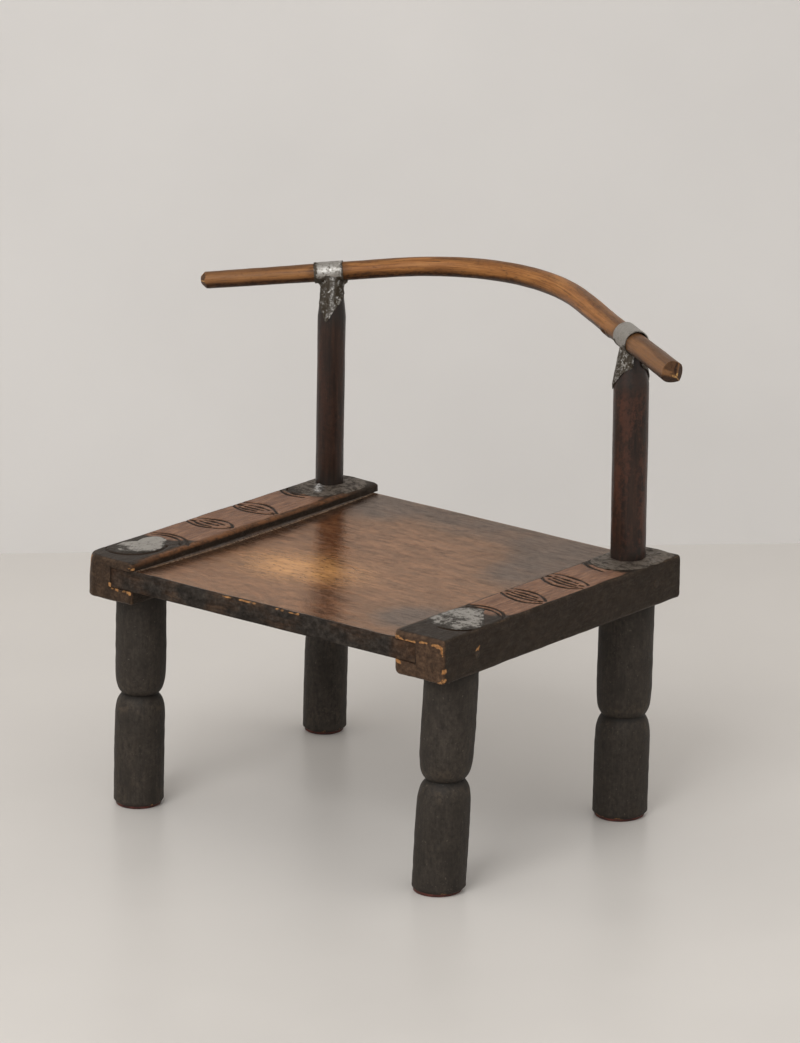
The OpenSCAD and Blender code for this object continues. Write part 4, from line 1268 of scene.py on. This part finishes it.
# Knife cuts at each tip: (direction round the rod in degrees, distance from its middle at the tip, slope)
LEFT_CUTS = ((135, 0.9, 0.95), (214, 0.3, 1.0), (284, 0.2, 0.72), (10, 1.0, 0.95), (72, 1.4, 0.95))
RIGHT_CUTS = ((70, -4.0, 3.2), (250, 4.0, 1.1), (8, 2.6, 1.3))
LEFT_BLUNT, RIGHT_BLUNT, BLUNT_SHARPNESS = 2.6, 0.0, 1.6
KNOT_AT, KNOT_ANGLE = 536.0, math.radians(212)
KNOT_HALF_LENGTH, KNOT_HALF_WIDTH = 8.0, 5.0
PLANED_FROM, PLANED_AWAY = 470.0, 1.7


def turn_from(angle, start):
    """The angle from start, between -pi and pi."""
    return np.angle(np.exp(1j * (angle - start)))


def tip_depths(radius, angle, cuts):
    """How far behind the tip each knife cut lies, for each point of the bar's section."""
    depths = [(radius * np.cos(angle - math.radians(way)) - depth) / slope for way, depth, slope in cuts]
    return np.sort(depths, 0)


def whittle(run, radius, angle, cuts, blunt):
    """Lays the bar's end on the deepest cut. Also gives how near each point is to a ridge between cuts."""
    full = np.where(run < 0, radius * np.clip(1 + run / CAP, 0, 1), radius)
    depths = tip_depths(full, angle, cuts)
    cut = np.maximum(depths[-1], 0)
    if blunt:
        cut = np.exp(cut * BLUNT_SHARPNESS) + math.exp(blunt * BLUNT_SHARPNESS)
        cut = np.log(cut) / BLUNT_SHARPNESS
    from_tip = np.where(run < 0, cut, np.where(run < DRAWN, cut + run * (DRAWN - cut) / DRAWN, run))
    ridge = np.exp(-((depths[-1] - np.maximum(depths[-2], 0)) / 0.7) ** 2) * (run < 1.0)
    return from_tip, full, ridge


# %% [markdown]
# ### Bending the bar
# The bar's own Z axis is the run along the rod, so its vertices are worn first and then laid round the
# bent middle line.

# %% The rod itself


def shape_rod():
    rod = start_bar("rod", 10.0, -CAP, rod_length + CAP, ROD_SIDES, "NOTHING")
    cut_strips(rod, 2, int((rod_length + 2 * CAP) / ROD_STEP))
    half_rod = rod_length / 2
    refine(rod, lambda middles: np.abs(middles[:, 2] - half_rod) > half_rod - FINE_AT_TIPS, 1)
    points = points_of(rod)
    run, angle = points[:, 2], np.arctan2(points[:, 1], points[:, 0])
    inside = np.clip(run, 0, rod_length)
    long = np.stack([10 * np.cos(angle), 10 * np.sin(angle), inside], 1)
    radius = rod_radius(inside) + 0.32 * lumps(long, (9, 9, 60), 5.0) + 0.16 * lumps(long, (4, 4, 12), 9.0)
    planed = smooth_step(run, PLANED_FROM, PLANED_FROM + 60) * smooth_step(np.sin(angle), 0.2, 0.95)
    radius = radius - PLANED_AWAY * planed
    swing = turn_from(angle, KNOT_ANGLE) * radius
    knot = np.hypot((run - KNOT_AT) / KNOT_HALF_LENGTH, swing / KNOT_HALF_WIDTH)
    radius = radius + np.exp(-((knot - 1) / 0.35) ** 2) - 2.2 * np.exp(-(knot / 0.6) ** 2)
    left = whittle(run, radius, angle, LEFT_CUTS, LEFT_BLUNT)
    right = whittle(rod_length - run, radius, angle, RIGHT_CUTS, RIGHT_BLUNT)
    near_left = run < half_rod
    from_tip, radius, ridge = (np.where(near_left, *pair) for pair in zip(left, right))
    run = np.where(near_left, from_tip, rod_length - from_tip)
    set_points(rod, round_rod(run, radius, angle)[0])
    straight = np.stack([run, radius * np.cos(angle), radius * np.sin(angle)], 1) * MM
    layer = rod.data.attributes.new("before_bending", "FLOAT_VECTOR", "POINT")
    layer.data.foreach_set("vector", straight.astype(np.float32).ravel())
    paint_rod(rod, points[:, 2], angle, long, knot, ridge)
    only(rod)
    bpy.ops.object.mode_set(mode="EDIT")
    bpy.ops.mesh.select_all(action="SELECT")
    bpy.ops.mesh.remove_doubles(threshold=0.005 * MM)
    bpy.ops.object.mode_set(mode="OBJECT")
    return rod


# %% [markdown]
# ### Where the rod is dark
# Its top, the wood beside the straps and parts of both whittled tips have darkened. Its underside and a
# crescent on the right tip's right side are painted shade.

# %% Rod masks


def paint_rod(rod, run, angle, long, knot, ridge):
    top = smooth_step(np.sin(angle) + 0.3 * lumps(long, (8, 8, 40), 3.3), 0.72, 1.0)
    # The underside is painted shade
    under = smooth_step(-np.sin(angle) + 0.3 * lumps(long, (8, 8, 40), 6.6), -0.12, 0.5)
    straps = [LEFT_OVERHANG, rod_length - RIGHT_OVERHANG]
    near_strap = sum(np.exp(-((np.abs(run - at) - 17) / 5) ** 2) for at in straps)
    right_cut = smooth_step(run, rod_length - 1, rod_length + 0.5)
    disc = smooth_step(np.sin(angle - math.radians(-20)), -0.1, 0.2)
    # A crescent of painted shadow on the right tip's right side
    crescent = smooth_step(np.cos(angle - math.radians(8)), 0.25, 0.6)
    low_right = smooth_step(np.cos(angle - math.radians(300)), 0.4, 0.8)
    right_dark = right_cut * np.maximum.reduce([0.72 * disc, 0.95 * crescent, 0.8 * low_right])
    left_cut = smooth_step(run, 0.5, -0.5) * smooth_step(np.cos(angle - math.radians(135)), 0.2, 0.7)
    by_knot = np.exp(-((turn_from(angle, KNOT_ANGLE) - 0.2) / 0.22) ** 2)
    by_knot = by_knot * smooth_step(run, KNOT_AT - 20, KNOT_AT)
    by_knot = by_knot * smooth_step(run, straps[1], straps[1] - 14)
    in_knot = 1.1 * np.exp(-(knot / 0.8) ** 2)
    soot_and_shade = [0.5 * top, 0.95 * under, 0.5 * near_strap, right_dark, 0.8 * left_cut, by_knot, in_knot]
    paint(rod, "soot_and_shade", np.maximum.reduce(soot_and_shade) * (1 - ridge))
    in_front_below = smooth_step(-np.sin(angle), 0.15, 0.4) * smooth_step(np.cos(angle), -0.9, 0.1)
    ridge = ridge * np.where(run > rod_length / 2, in_front_below, 0.5)
    paint(rod, "bare", 1.15 * ridge * (0.75 + 0.6 * lumps(long, (5, 5, 9), 1.1)))
    dull = smooth_step(run + 20 * lumps(long, (20, 20, 60), 7.7), PLANED_FROM + 40, PLANED_FROM + 120)
    paint(rod, "dull", np.maximum(0.9 * dull, 0.6 * smooth_step(run, 150, 90)))


rod = shape_rod()
complete(rod, ROD_WOOD, "backrest_rod", angle=38)

# %% [markdown]
# ## The straps
# A strip of soft sheet is lapped over the rod. Its two ends are cut to a ragged point and hammered down the
# front and the back of the post. The band is a short open tube on the rod. Each end is a flat grid,
# drawn to the cut outline and wrapped round the leaning post. Solidify gives them all their thickness.

# %% Sizes and looks of the straps
STRAP_WIDTH = 30.0
STRAP_SHEET = 0.9
STRAP_GAP = 0.3
STRAP_AT = {"left": LEFT_OVERHANG, "right": rod_length - RIGHT_OVERHANG}
BAND_SIDES, BAND_PARTS, TONGUE_GRID = 96, 24, (44, 64)
BAND_DENTS = {"left": 0.26, "right": 0.1}
# Tarnish at the band's rims and below, its polish, and how much of that the tarnish takes away
BAND_RIM_TARNISH, BAND_LOW_TARNISH = {"left": 0.36, "right": 0.12}, {"left": 0.55, "right": 0.42}
BAND_POLISH, POLISH_LOST = {"left": 0.55, "right": 0.78}, {"left": 0.7, "right": 0.0}
# A tongue's drop to its point, half widths at its neck and below, where its point lies, and its shoulders
TONGUE_LENGTH, TONGUE_NECK, TONGUE_POINT = 51.0, 8.5, -5.0
TONGUE_HALF = {"left": 12.5, "right": 15.5}
TONGUE_SHOULDERS = (33.0, 24.0)
TONGUE_TARNISH = {"left": 0.32, "right": 0.26}
MOST_WRAP = 0.94


def add_sheet(piece):
    """Gives an open sheet its thickness, outwards."""
    only(piece)
    thick = piece.modifiers.new("sheet", "SOLIDIFY")
    thick.thickness = STRAP_SHEET * MM
    thick.offset = 1.0
    thick.use_even_offset = False
    bpy.ops.object.modifier_apply(modifier="sheet")


print("straps at", round(STRAP_AT["left"], 1), "and", round(STRAP_AT["right"], 1), "along the rod")

# %% [markdown]
# ### The band
# The open tube is dented, and the line of its two rims wanders a little.

# %% The band


def shape_band(side, seed):
    run, half = STRAP_AT[side], STRAP_WIDTH / 2
    band = start_bar(f"strap_{side}", rod_radius(run) + STRAP_GAP, -half, half, BAND_SIDES, "NOTHING")
    cut_strips(band, 2, BAND_PARTS)
    points = points_of(band)
    x, y, along = points.T
    angle, dents = np.arctan2(y, x), BAND_DENTS[side]
    radius = np.hypot(x, y) + 0.1 + dents * lumps(points, (6, 6, 8), seed)
    radius = radius + 0.3 * dents * lumps(points, (2.6, 2.6, 3), seed + 2)
    ring = np.stack([12 * np.cos(angle), 12 * np.sin(angle), 0 * angle], 1)
    ragged = 1 + 0.05 * lumps(ring, (4, 4, 4), seed + 5) * np.sign(along)
    ragged = ragged + 0.03 * lumps(ring, (1.5, 1.5, 1.5), seed)
    shift = np.clip(along * ragged, -half, half)
    placed, forward = round_rod(np.full(len(points), run), radius, angle)
    set_points(band, placed + shift[:, None] * forward)
    rims = smooth_step(np.abs(along), 10, 15)
    low = -np.sin(angle) + 0.3 * lumps(points, (4, 4, 5), seed + 7) + 0.3 * (along / 15) ** 2
    low = smooth_step(low, 0.2, 0.6)
    paint(band, "tarnish", BAND_RIM_TARNISH[side] * rims + BAND_LOW_TARNISH[side] * low)
    paint(band, "smooth", BAND_POLISH[side] * (1 - POLISH_LOST[side] * np.maximum(rims, low)))
    # A painted glint on the left band's upper front
    glint = np.exp(-(along / 9) ** 4) * np.exp(-((np.sin(angle) - 0.35) / 0.42) ** 2) * (np.cos(angle) < 0)
    seam = np.exp(-((along - 12.6) / 1.2) ** 2) * (np.sin(angle) > -0.3)
    paint(band, "rubbed", np.maximum(0.4 * glint, 0.5 * seam) * (side == "left"))
    add_sheet(band)
    return band


# %% [markdown]
# ### The tongues
# The grid is first cut to its outline while it is flat. It is then wrapped round the post, as far as the
# sheet can lie against it, and what is left over flares out to the side.

# %% The tongues


def cut_tongue(share, down, side, seed):
    """The flat outline, as each vertex's place across the tongue and its drop below the rod."""
    half, rod_half = TONGUE_HALF[side], rod_radius(STRAP_AT[side])
    first = 0.35 * rod_half
    flat = np.stack([20 * share, 0 * share, 0 * share], 1)
    ragged = 1.3 * lumps(flat, (5, 5, 5), seed) + 0.7 * lumps(flat, (1.6, 1.6, 1.6), seed + 3)
    ends = TONGUE_SHOULDERS[0], TONGUE_LENGTH, TONGUE_SHOULDERS[1]
    end = np.interp(share, (-1, TONGUE_POINT / half, 1), ends)
    drop = first + down * (end - 0.6 + ragged - first)
    shoulder = np.where(share < 0, *TONGUE_SHOULDERS)
    reach = TONGUE_NECK + (half - TONGUE_NECK) * np.clip(drop / shoulder, 0, 1)
    reach = reach + 6.5 * np.exp(-np.clip(drop - rod_half, 0, 90) / 3.5)
    reach = reach + 0.5 * lumps(np.stack([drop, 9 * share, 0 * drop], 1), (5, 9, 9), seed + 1)
    return share * reach, drop


def shape_tongue(side, facing, seed):
    """facing is -1 for the end in front of the rod and 1 for the end behind it."""
    bpy.ops.object.select_all(action="DESELECT")
    bpy.ops.mesh.primitive_grid_add(x_subdivisions=TONGUE_GRID[0], y_subdivisions=TONGUE_GRID[1], size=2)
    bpy.ops.object.transform_apply(location=True, rotation=True, scale=True)
    tongue = bpy.context.object
    tongue.name = f"tongue_{side}_{facing}"
    unit = read_vertices(tongue)
    share = -facing * unit[:, 0]
    along, drop = cut_tongue(share, (1 - unit[:, 1]) / 2, side, seed)
    foot, girth = post_place(side)
    height = ROD_HEIGHT + ROD_TILT * (foot[1] - post_line) - drop
    wave = np.stack([along, 0 * along, height], 1)
    surface = post_radius(girth, height, ROD_HEIGHT) + STRAP_GAP + 0.2
    fold = np.exp(-((along - 1.2 + 0.03 * drop) / 1.6) ** 2) * (side == "left")
    radius = surface + 0.35 * lumps(wave, (6, 6, 8), seed + 6) + 0.14 * lumps(wave, (2.4, 2.4, 3), seed + 9)
    radius = radius + 0.35 * fold
    angle = np.arcsin(np.clip(along / surface, -MOST_WRAP, MOST_WRAP))
    flare = np.clip(np.abs(along) - MOST_WRAP * surface, 0, 6) * np.sign(along)
    turn = LEFT_ARM_ANGLE if side == "left" else -RIGHT_ARM_ANGLE
    to_side = np.array([math.cos(turn), math.sin(turn)])
    outward = facing * np.array([-math.sin(turn), math.cos(turn)])
    wrapped = np.sin(angle)[:, None] * to_side + np.cos(angle)[:, None] * outward
    plan = post_middle(side, height) + radius[:, None] * wrapped + flare[:, None] * to_side
    set_points(tongue, np.column_stack([plan, height]))
    pale_strip = smooth_step(share + 0.1 * lumps(wave, (5, 5, 5), seed + 4), -0.35, -0.55)
    pale_strip = pale_strip * (side == "right")
    tarnish = TONGUE_TARNISH[side] + 0.25 * lumps(wave, (5, 5, 6), seed + 1)
    paint(tongue, "tarnish", tarnish - 0.32 * pale_strip)
    paint(tongue, "smooth", 0.9 * pale_strip)
    specks = smooth_step(lumps(wave, (2.6, 2.6, 3), seed + 2), 0.2, 0.4)
    # A painted highlight along the left tongue's fold, among bare specks and the pale strip
    paint(tongue, "rubbed", np.maximum.reduce([0.55 * fold, 0.45 * specks, 0.5 * pale_strip]))
    add_sheet(tongue)
    return tongue


# %% [markdown]
# ### Both straps
# A band and its two tongues are joined into one piece of sheet.

# %% Both straps


def shape_strap(side, seed):
    parts = [shape_band(side, seed), shape_tongue(side, -1, seed + 20), shape_tongue(side, 1, seed + 40)]
    bpy.ops.object.select_all(action="DESELECT")
    for part in parts:
        part.select_set(True)
    bpy.context.view_layer.objects.active = parts[0]
    bpy.ops.object.join()
    return parts[0]


for side, seed in (("left", 4.0), ("right", 9.0)):
    complete(shape_strap(side, seed), STRAP_METAL, f"{side}_rod_strap", angle=60)

# %% [markdown]
# ## Metal let into the rails
# Soft metal was poured over the tops of the front tenons and round the feet of the posts, then scraped
# flat. Its outline is whatever the metal ran into. A sphere primitive has the right faces for such a
# puddle: its rings become rings of the outline, close together at the rim, where the metal rolls over.

# %% Outlines of the metal
METAL_PROUD, METAL_SUNK = 0.5, 0.9
INLAY_RIPPLE, PATCH_RIPPLE = 0.3, 0.7
# Outlines as (back from the rail's front end, across from its outer face)
LEFT_INLAY = ((24, 21.5), (28, 31.5), (34, 40.2), (46.5, 47.7), (59, 48.5), (71.5, 42.7), (81.5, 36.5),
              (90.2, 25.2), (88.5, 16.5), (79, 11.5), (70.2, 12.2), (63, 14.5), (58, 9), (51.5, 5.2),
              (41.5, 6.5), (31.5, 12.7))
RIGHT_INLAY = ((35, 32.7), (37.2, 44), (40.6, 52.7), (45.5, 58.5), (52.8, 61.8), (65, 61.6), (79, 60.4),
               (92.8, 57.2), (102.8, 46), (107.3, 37.1), (97.5, 29.3), (86.6, 20.8), (75.8, 12.4),
               (65, 4.4), (57.2, 2), (45, 6), (37.2, 19.3))
LEFT_PATCH = ((301, 30), (299, 42), (309, 53), (326, 58), (348, 60), (368, 59), (380, 55), (381.5, 38),
              (381.5, 18), (379, 4), (360, 2), (336, 2.2), (318, 3), (307, 14))
RIGHT_PATCH = ((287, 34), (293, 50), (306, 60), (328, 62), (352, 62), (372, 59), (373.5, 40), (373.5, 20),
               (370, 4), (350, 2.4), (326, 2.4), (303, 5), (292, 18))
# Strength of the stain at an inlay's end, and where it fades in, as distances back
STAINED = {"inlay_left": (0.3, 52, 34), "inlay_right": (0.14, 84, 60)}
POLISHED = {"inlay_left": 0.5, "inlay_right": 0.15, "patch_left": 0.2, "patch_right": 0.35}
# The flap of metal that stands up beside the left post, with a painted highlight on its ridge: two ends, as
# (back, across)
FLAP = ((315.0, 37.0), (347.0, 13.0))
FLAP_HEIGHT, FLAP_WIDTH, FLAP_GLINT_WIDTH = 1.1, 2.4, 3.6


print("outlines of", len(POLISHED), "puddles")

# %% [markdown]
# ### Pouring it
# The metal follows the rail's worn and sloping top, swells to its full thickness just inside the rim and
# ripples a little.

# %% Puddles of metal


def rail_top_at(side, across):
    """Height of a rail's worn top at a distance from its outer face."""
    low, high = box_of(f"{side}_side_rail")
    width = high[0] - low[0]
    worn_edge = np.clip(3.0 - across, 0, 3) ** 2 / 6
    slope = smooth_step(across, width - LIP_SLOPE_WIDTH, width + 4)
    return RAIL_TOP - LIP_SLOPE_DROP * slope - worn_edge


def outline_reach(outline, angle):
    """Distance from an outline's middle to its edge in each direction, smoothly joined."""
    corners = np.array(outline, float)
    middle = corners.mean(0)
    ways = np.arctan2(corners[:, 1] - middle[1], corners[:, 0] - middle[0])
    reach = np.hypot(*(corners - middle).T)
    order = np.argsort(ways)
    ways, reach = ways[order], reach[order]
    fine = np.linspace(-math.pi, math.pi, 721)
    values = np.interp(fine, ways, reach, period=2 * math.pi)
    once_round = np.concatenate([values[-13:-1], values, values[1:13]])
    soft = np.convolve(once_round, np.hanning(25) / 12.0, "valid")
    return middle, np.interp(angle, fine, soft)


def shape_puddle(name, side, outline, seed, ripple, thickness):
    low, high = box_of(f"{side}_side_rail")
    bpy.ops.object.select_all(action="DESELECT")
    bpy.ops.mesh.primitive_uv_sphere_add(segments=128, ring_count=56, radius=1)
    puddle = bpy.context.object
    puddle.name = name
    unit = read_vertices(puddle)
    angle, share = np.arctan2(unit[:, 1], unit[:, 0]), np.hypot(unit[:, 0], unit[:, 1])
    middle, reach = outline_reach(outline, angle)
    ring = np.stack([20 * np.cos(angle), 20 * np.sin(angle), 0 * angle], 1)
    reach = reach + 0.7 * lumps(ring, (4, 4, 4), seed) + 0.35 * lumps(ring, (1.4, 1.4, 1.4), seed + 2)
    back = middle[0] + reach * share * np.cos(angle)
    across = np.clip(middle[1] + reach * share * np.sin(angle), 0.8, high[0] - low[0] - 0.8)
    flat = np.stack([across, back, 0 * back], 1)
    rim = np.sqrt(np.clip(1 - share ** 6, 0, 1))
    surface = thickness * rim + ripple * lumps(flat, (11, 11, 11), seed + 4) * rim
    surface = surface + 0.4 * ripple * lumps(flat, (3, 3, 3), seed + 6) * rim
    lift = np.where(unit[:, 2] >= 0, surface, -METAL_SUNK * rim)
    x = low[0] + across if side == "left" else high[0] - across
    surface_at = rail_top_at(side, across) + lift
    edge = smooth_step(share, 0.8, 1.0)
    rubbed = 0 * edge
    if name == "patch_left":
        gap, _ = gap_to(np.stack([back, across], 1), np.array(FLAP))
        surface_at = surface_at + FLAP_HEIGHT * np.exp(-(gap / FLAP_WIDTH) ** 2) * (unit[:, 2] > 0)
        # A painted highlight along the flap's ridge
        rubbed = 0.7 * np.exp(-(gap / FLAP_GLINT_WIDTH) ** 2)
    set_points(puddle, np.stack([x, low[1] + back, surface_at], 1))
    tarnish = 0.12 * lumps(flat, (9, 9, 9), seed + 8)
    if name in STAINED:
        strength, clear_at, stained_at = STAINED[name]
        tarnish = tarnish + strength * smooth_step(back, clear_at, stained_at) + 0.25 * edge
    paint(puddle, "tarnish", tarnish)
    paint(puddle, "smooth", np.full(len(edge), POLISHED[name]))
    paint(puddle, "rubbed", rubbed)
    return puddle


for side, outline, seed in (("left", LEFT_INLAY, 2.0), ("right", RIGHT_INLAY, 6.0)):
    puddle = shape_puddle(f"inlay_{side}", side, outline, seed, INLAY_RIPPLE, METAL_PROUD + 0.3)
    complete(puddle, INLAY_METAL, f"{side}_front_inlay")
for side, outline, seed in (("left", LEFT_PATCH, 12.0), ("right", RIGHT_PATCH, 16.0)):
    puddle = shape_puddle(f"patch_{side}", side, outline, seed, PATCH_RIPPLE, METAL_PROUD + 0.2)
    complete(puddle, PATCH_METAL, f"{side}_post_inlay")

# %% [markdown]
# ## The pegs
# Only a peg's outer end shows: a small disc of end grain, swollen a hair proud of the rail.

# %% Pegs


def shape_peg(place):
    low, high = box_of(f"{place}_peg")
    radius, side = (high[2] - low[2]) / 2, -1 if "left" in place else 1
    bpy.ops.object.select_all(action="DESELECT")
    bpy.ops.mesh.primitive_cylinder_add(
        vertices=40, radius=radius * MM, depth=(high[0] - low[0] + 0.4) * MM, rotation=(0, math.pi / 2, 0),
        location=((low + high) / 2 + (side * 0.2, 0, 0)) * MM)
    bpy.ops.object.transform_apply(location=True, rotation=True, scale=True)
    peg = bpy.context.object
    peg.name = f"peg_{place}"
    pick_edges(peg, lambda edge: not runs_along(edge, 0))
    bpy.ops.mesh.bevel(offset=0.7 * MM, segments=3, affect="EDGES")
    bpy.ops.object.mode_set(mode="OBJECT")
    hew(peg, 0.15, (3, 3, 3), 5.0)
    for name, value in (("worn", 0.6), ("soot_and_shade", 0.15), ("bare", 0.3 if place == "front_right" else 0.0)):
        paint(peg, name, np.full(len(peg.data.vertices), value))
    return peg


for place in LEGS:
    complete(shape_peg(place), PEG_WOOD, f"{place}_peg")

# %% [markdown]
# ## Floor, wall and light
# A pale floor meets a pale wall behind the chair. One large soft lamp stands behind the camera and to its
# left, as the photograph's faint shadows show, and the room's own light fills the rest. Together they
# light a white card to about white, so every colour above renders nearly as it is written.

# %% Stage
AZIMUTH, ELEVATION, ROLL = math.radians(39.71), math.radians(16.46), math.radians(0.125)
AIM = np.array([16.1, -7.4, 299.4])
DISTANCE = 5609.0
LENS = 193.7
WALL_AZIMUTH = math.radians(42.7)
WALL_BEHIND = 885.0
STAGE_SIZE = 14
FLOOR_COLOUR, WALL_COLOUR = (0.63, 0.6, 0.565), (0.66, 0.64, 0.62)


def painted(name, colour, scuffed, roughness):
    """Matt paint with faint clouds and, where scuffed is over 0, a few darker scuffs."""
    coat = Recipe(name)
    clouds = coat.noise((420, 420, 420), detail=3)
    scuffs = coat.noise((26, 12, 12), detail=6, roughness=0.75)
    base = coat.blend(coat.fit(clouds, 0.35, 0.65), tuple(0.955 * c for c in colour), colour)
    base = coat.blend(coat.fit(scuffs, 0.7, 0.78, 0, scuffed), base, tuple(0.55 * c for c in colour))
    normal = coat.bump(coat.noise((60, 60, 60), detail=3), 0.25)
    roughness = coat.fit(clouds, 0.35, 0.65, roughness, roughness + 0.08)
    return coat.done(base, roughness, normal, Specular_IOR_Level=0.35)


def clear_from_behind(material):
    """Lets a view from behind the wall through to the chair."""
    tree = material.node_tree
    mixed, back = tree.nodes.new("ShaderNodeMixShader"), tree.nodes.new("ShaderNodeNewGeometry")
    tree.links.new(back.outputs["Backfacing"], mixed.inputs[0])
    tree.links.new(tree.nodes["Principled BSDF"].outputs[0], mixed.inputs[1])
    tree.links.new(tree.nodes.new("ShaderNodeBsdfTransparent").outputs[0], mixed.inputs[2])
    tree.links.new(mixed.outputs[0], tree.nodes["Material Output"].inputs["Surface"])


def add_plane(name, size, location, rotation, material):
    bpy.ops.object.select_all(action="DESELECT")
    bpy.ops.mesh.primitive_plane_add(size=size, location=location, rotation=rotation)
    made = bpy.context.object
    made.name = name
    made.data.materials.append(material)
    return made


away = np.array([-math.sin(WALL_AZIMUTH), math.cos(WALL_AZIMUTH), 0])
floor_paint = painted("floor_paint", FLOOR_COLOUR, scuffed=0.5, roughness=0.3)
floor = add_plane("floor", STAGE_SIZE, (0, 0, 0), (0, 0, 0), floor_paint)
wall_paint = painted("wall_paint", WALL_COLOUR, scuffed=0.0, roughness=0.7)
wall = add_plane("wall", STAGE_SIZE, away * WALL_BEHIND * MM, (math.pi / 2, 0, WALL_AZIMUTH), wall_paint)
clear_from_behind(wall.data.materials[0])
print("stage", floor.name, wall.name)

# %% [markdown]
# ### The lights
# One large square lamp gives the soft shadows, and the room's even light fills them.

# %% Lights
# The lamp's size in metres and its power in watts, where it hangs and what it points at
WINDOW_SIZE, WINDOW_POWER, WINDOW_AT, WINDOW_TO = 2.7, 127, (0.9, -4.1, 3.6), (0, 0, 0.3)
ROOM_COLOUR, ROOM_STRENGTH = (1.0, 0.985, 0.965, 1), 0.88


def soft_lamp(name, size, power, place, target):
    data = bpy.data.lights.new(name, "AREA")
    data.shape, data.size, data.energy = "SQUARE", size, power
    lamp = bpy.data.objects.new(name, data)
    bpy.context.scene.collection.objects.link(lamp)
    lamp.location = place
    lamp.rotation_mode = "QUATERNION"
    lamp.rotation_quaternion = (Vector(target) - Vector(place)).to_track_quat("-Z", "Y")
    return lamp


soft_lamp("window", WINDOW_SIZE, WINDOW_POWER, WINDOW_AT, WINDOW_TO)
world = bpy.data.worlds.new("room_light")
bpy.context.scene.world = world
world.use_nodes = True
room = world.node_tree.nodes["Background"]
room.inputs["Color"].default_value = ROOM_COLOUR
room.inputs["Strength"].default_value = ROOM_STRENGTH
bpy.context.scene.view_settings.view_transform = "Standard"

# %% [markdown]
# ### The camera
# It stands where the photograph was taken from. The angles and the distance were solved from the chair's
# edges in the photograph.

# %% Camera
level = math.cos(ELEVATION)
back = Vector((math.sin(AZIMUTH) * level, -math.cos(AZIMUTH) * level, math.sin(ELEVATION)))
camera_data = bpy.data.cameras.new("camera")
camera = bpy.data.objects.new("camera", camera_data)
bpy.context.scene.collection.objects.link(camera)
camera_data.lens, camera_data.sensor_width = LENS, 36.0
camera_data.clip_end = 50
camera.location = Vector(AIM * MM) + back * DISTANCE * MM
camera.rotation_mode = "QUATERNION"
camera.rotation_quaternion = (-back).to_track_quat("-Z", "Y") @ Quaternion((0, 0, 1), ROLL)
bpy.context.scene.camera = camera
print("camera", [round(v, 3) for v in camera.location])
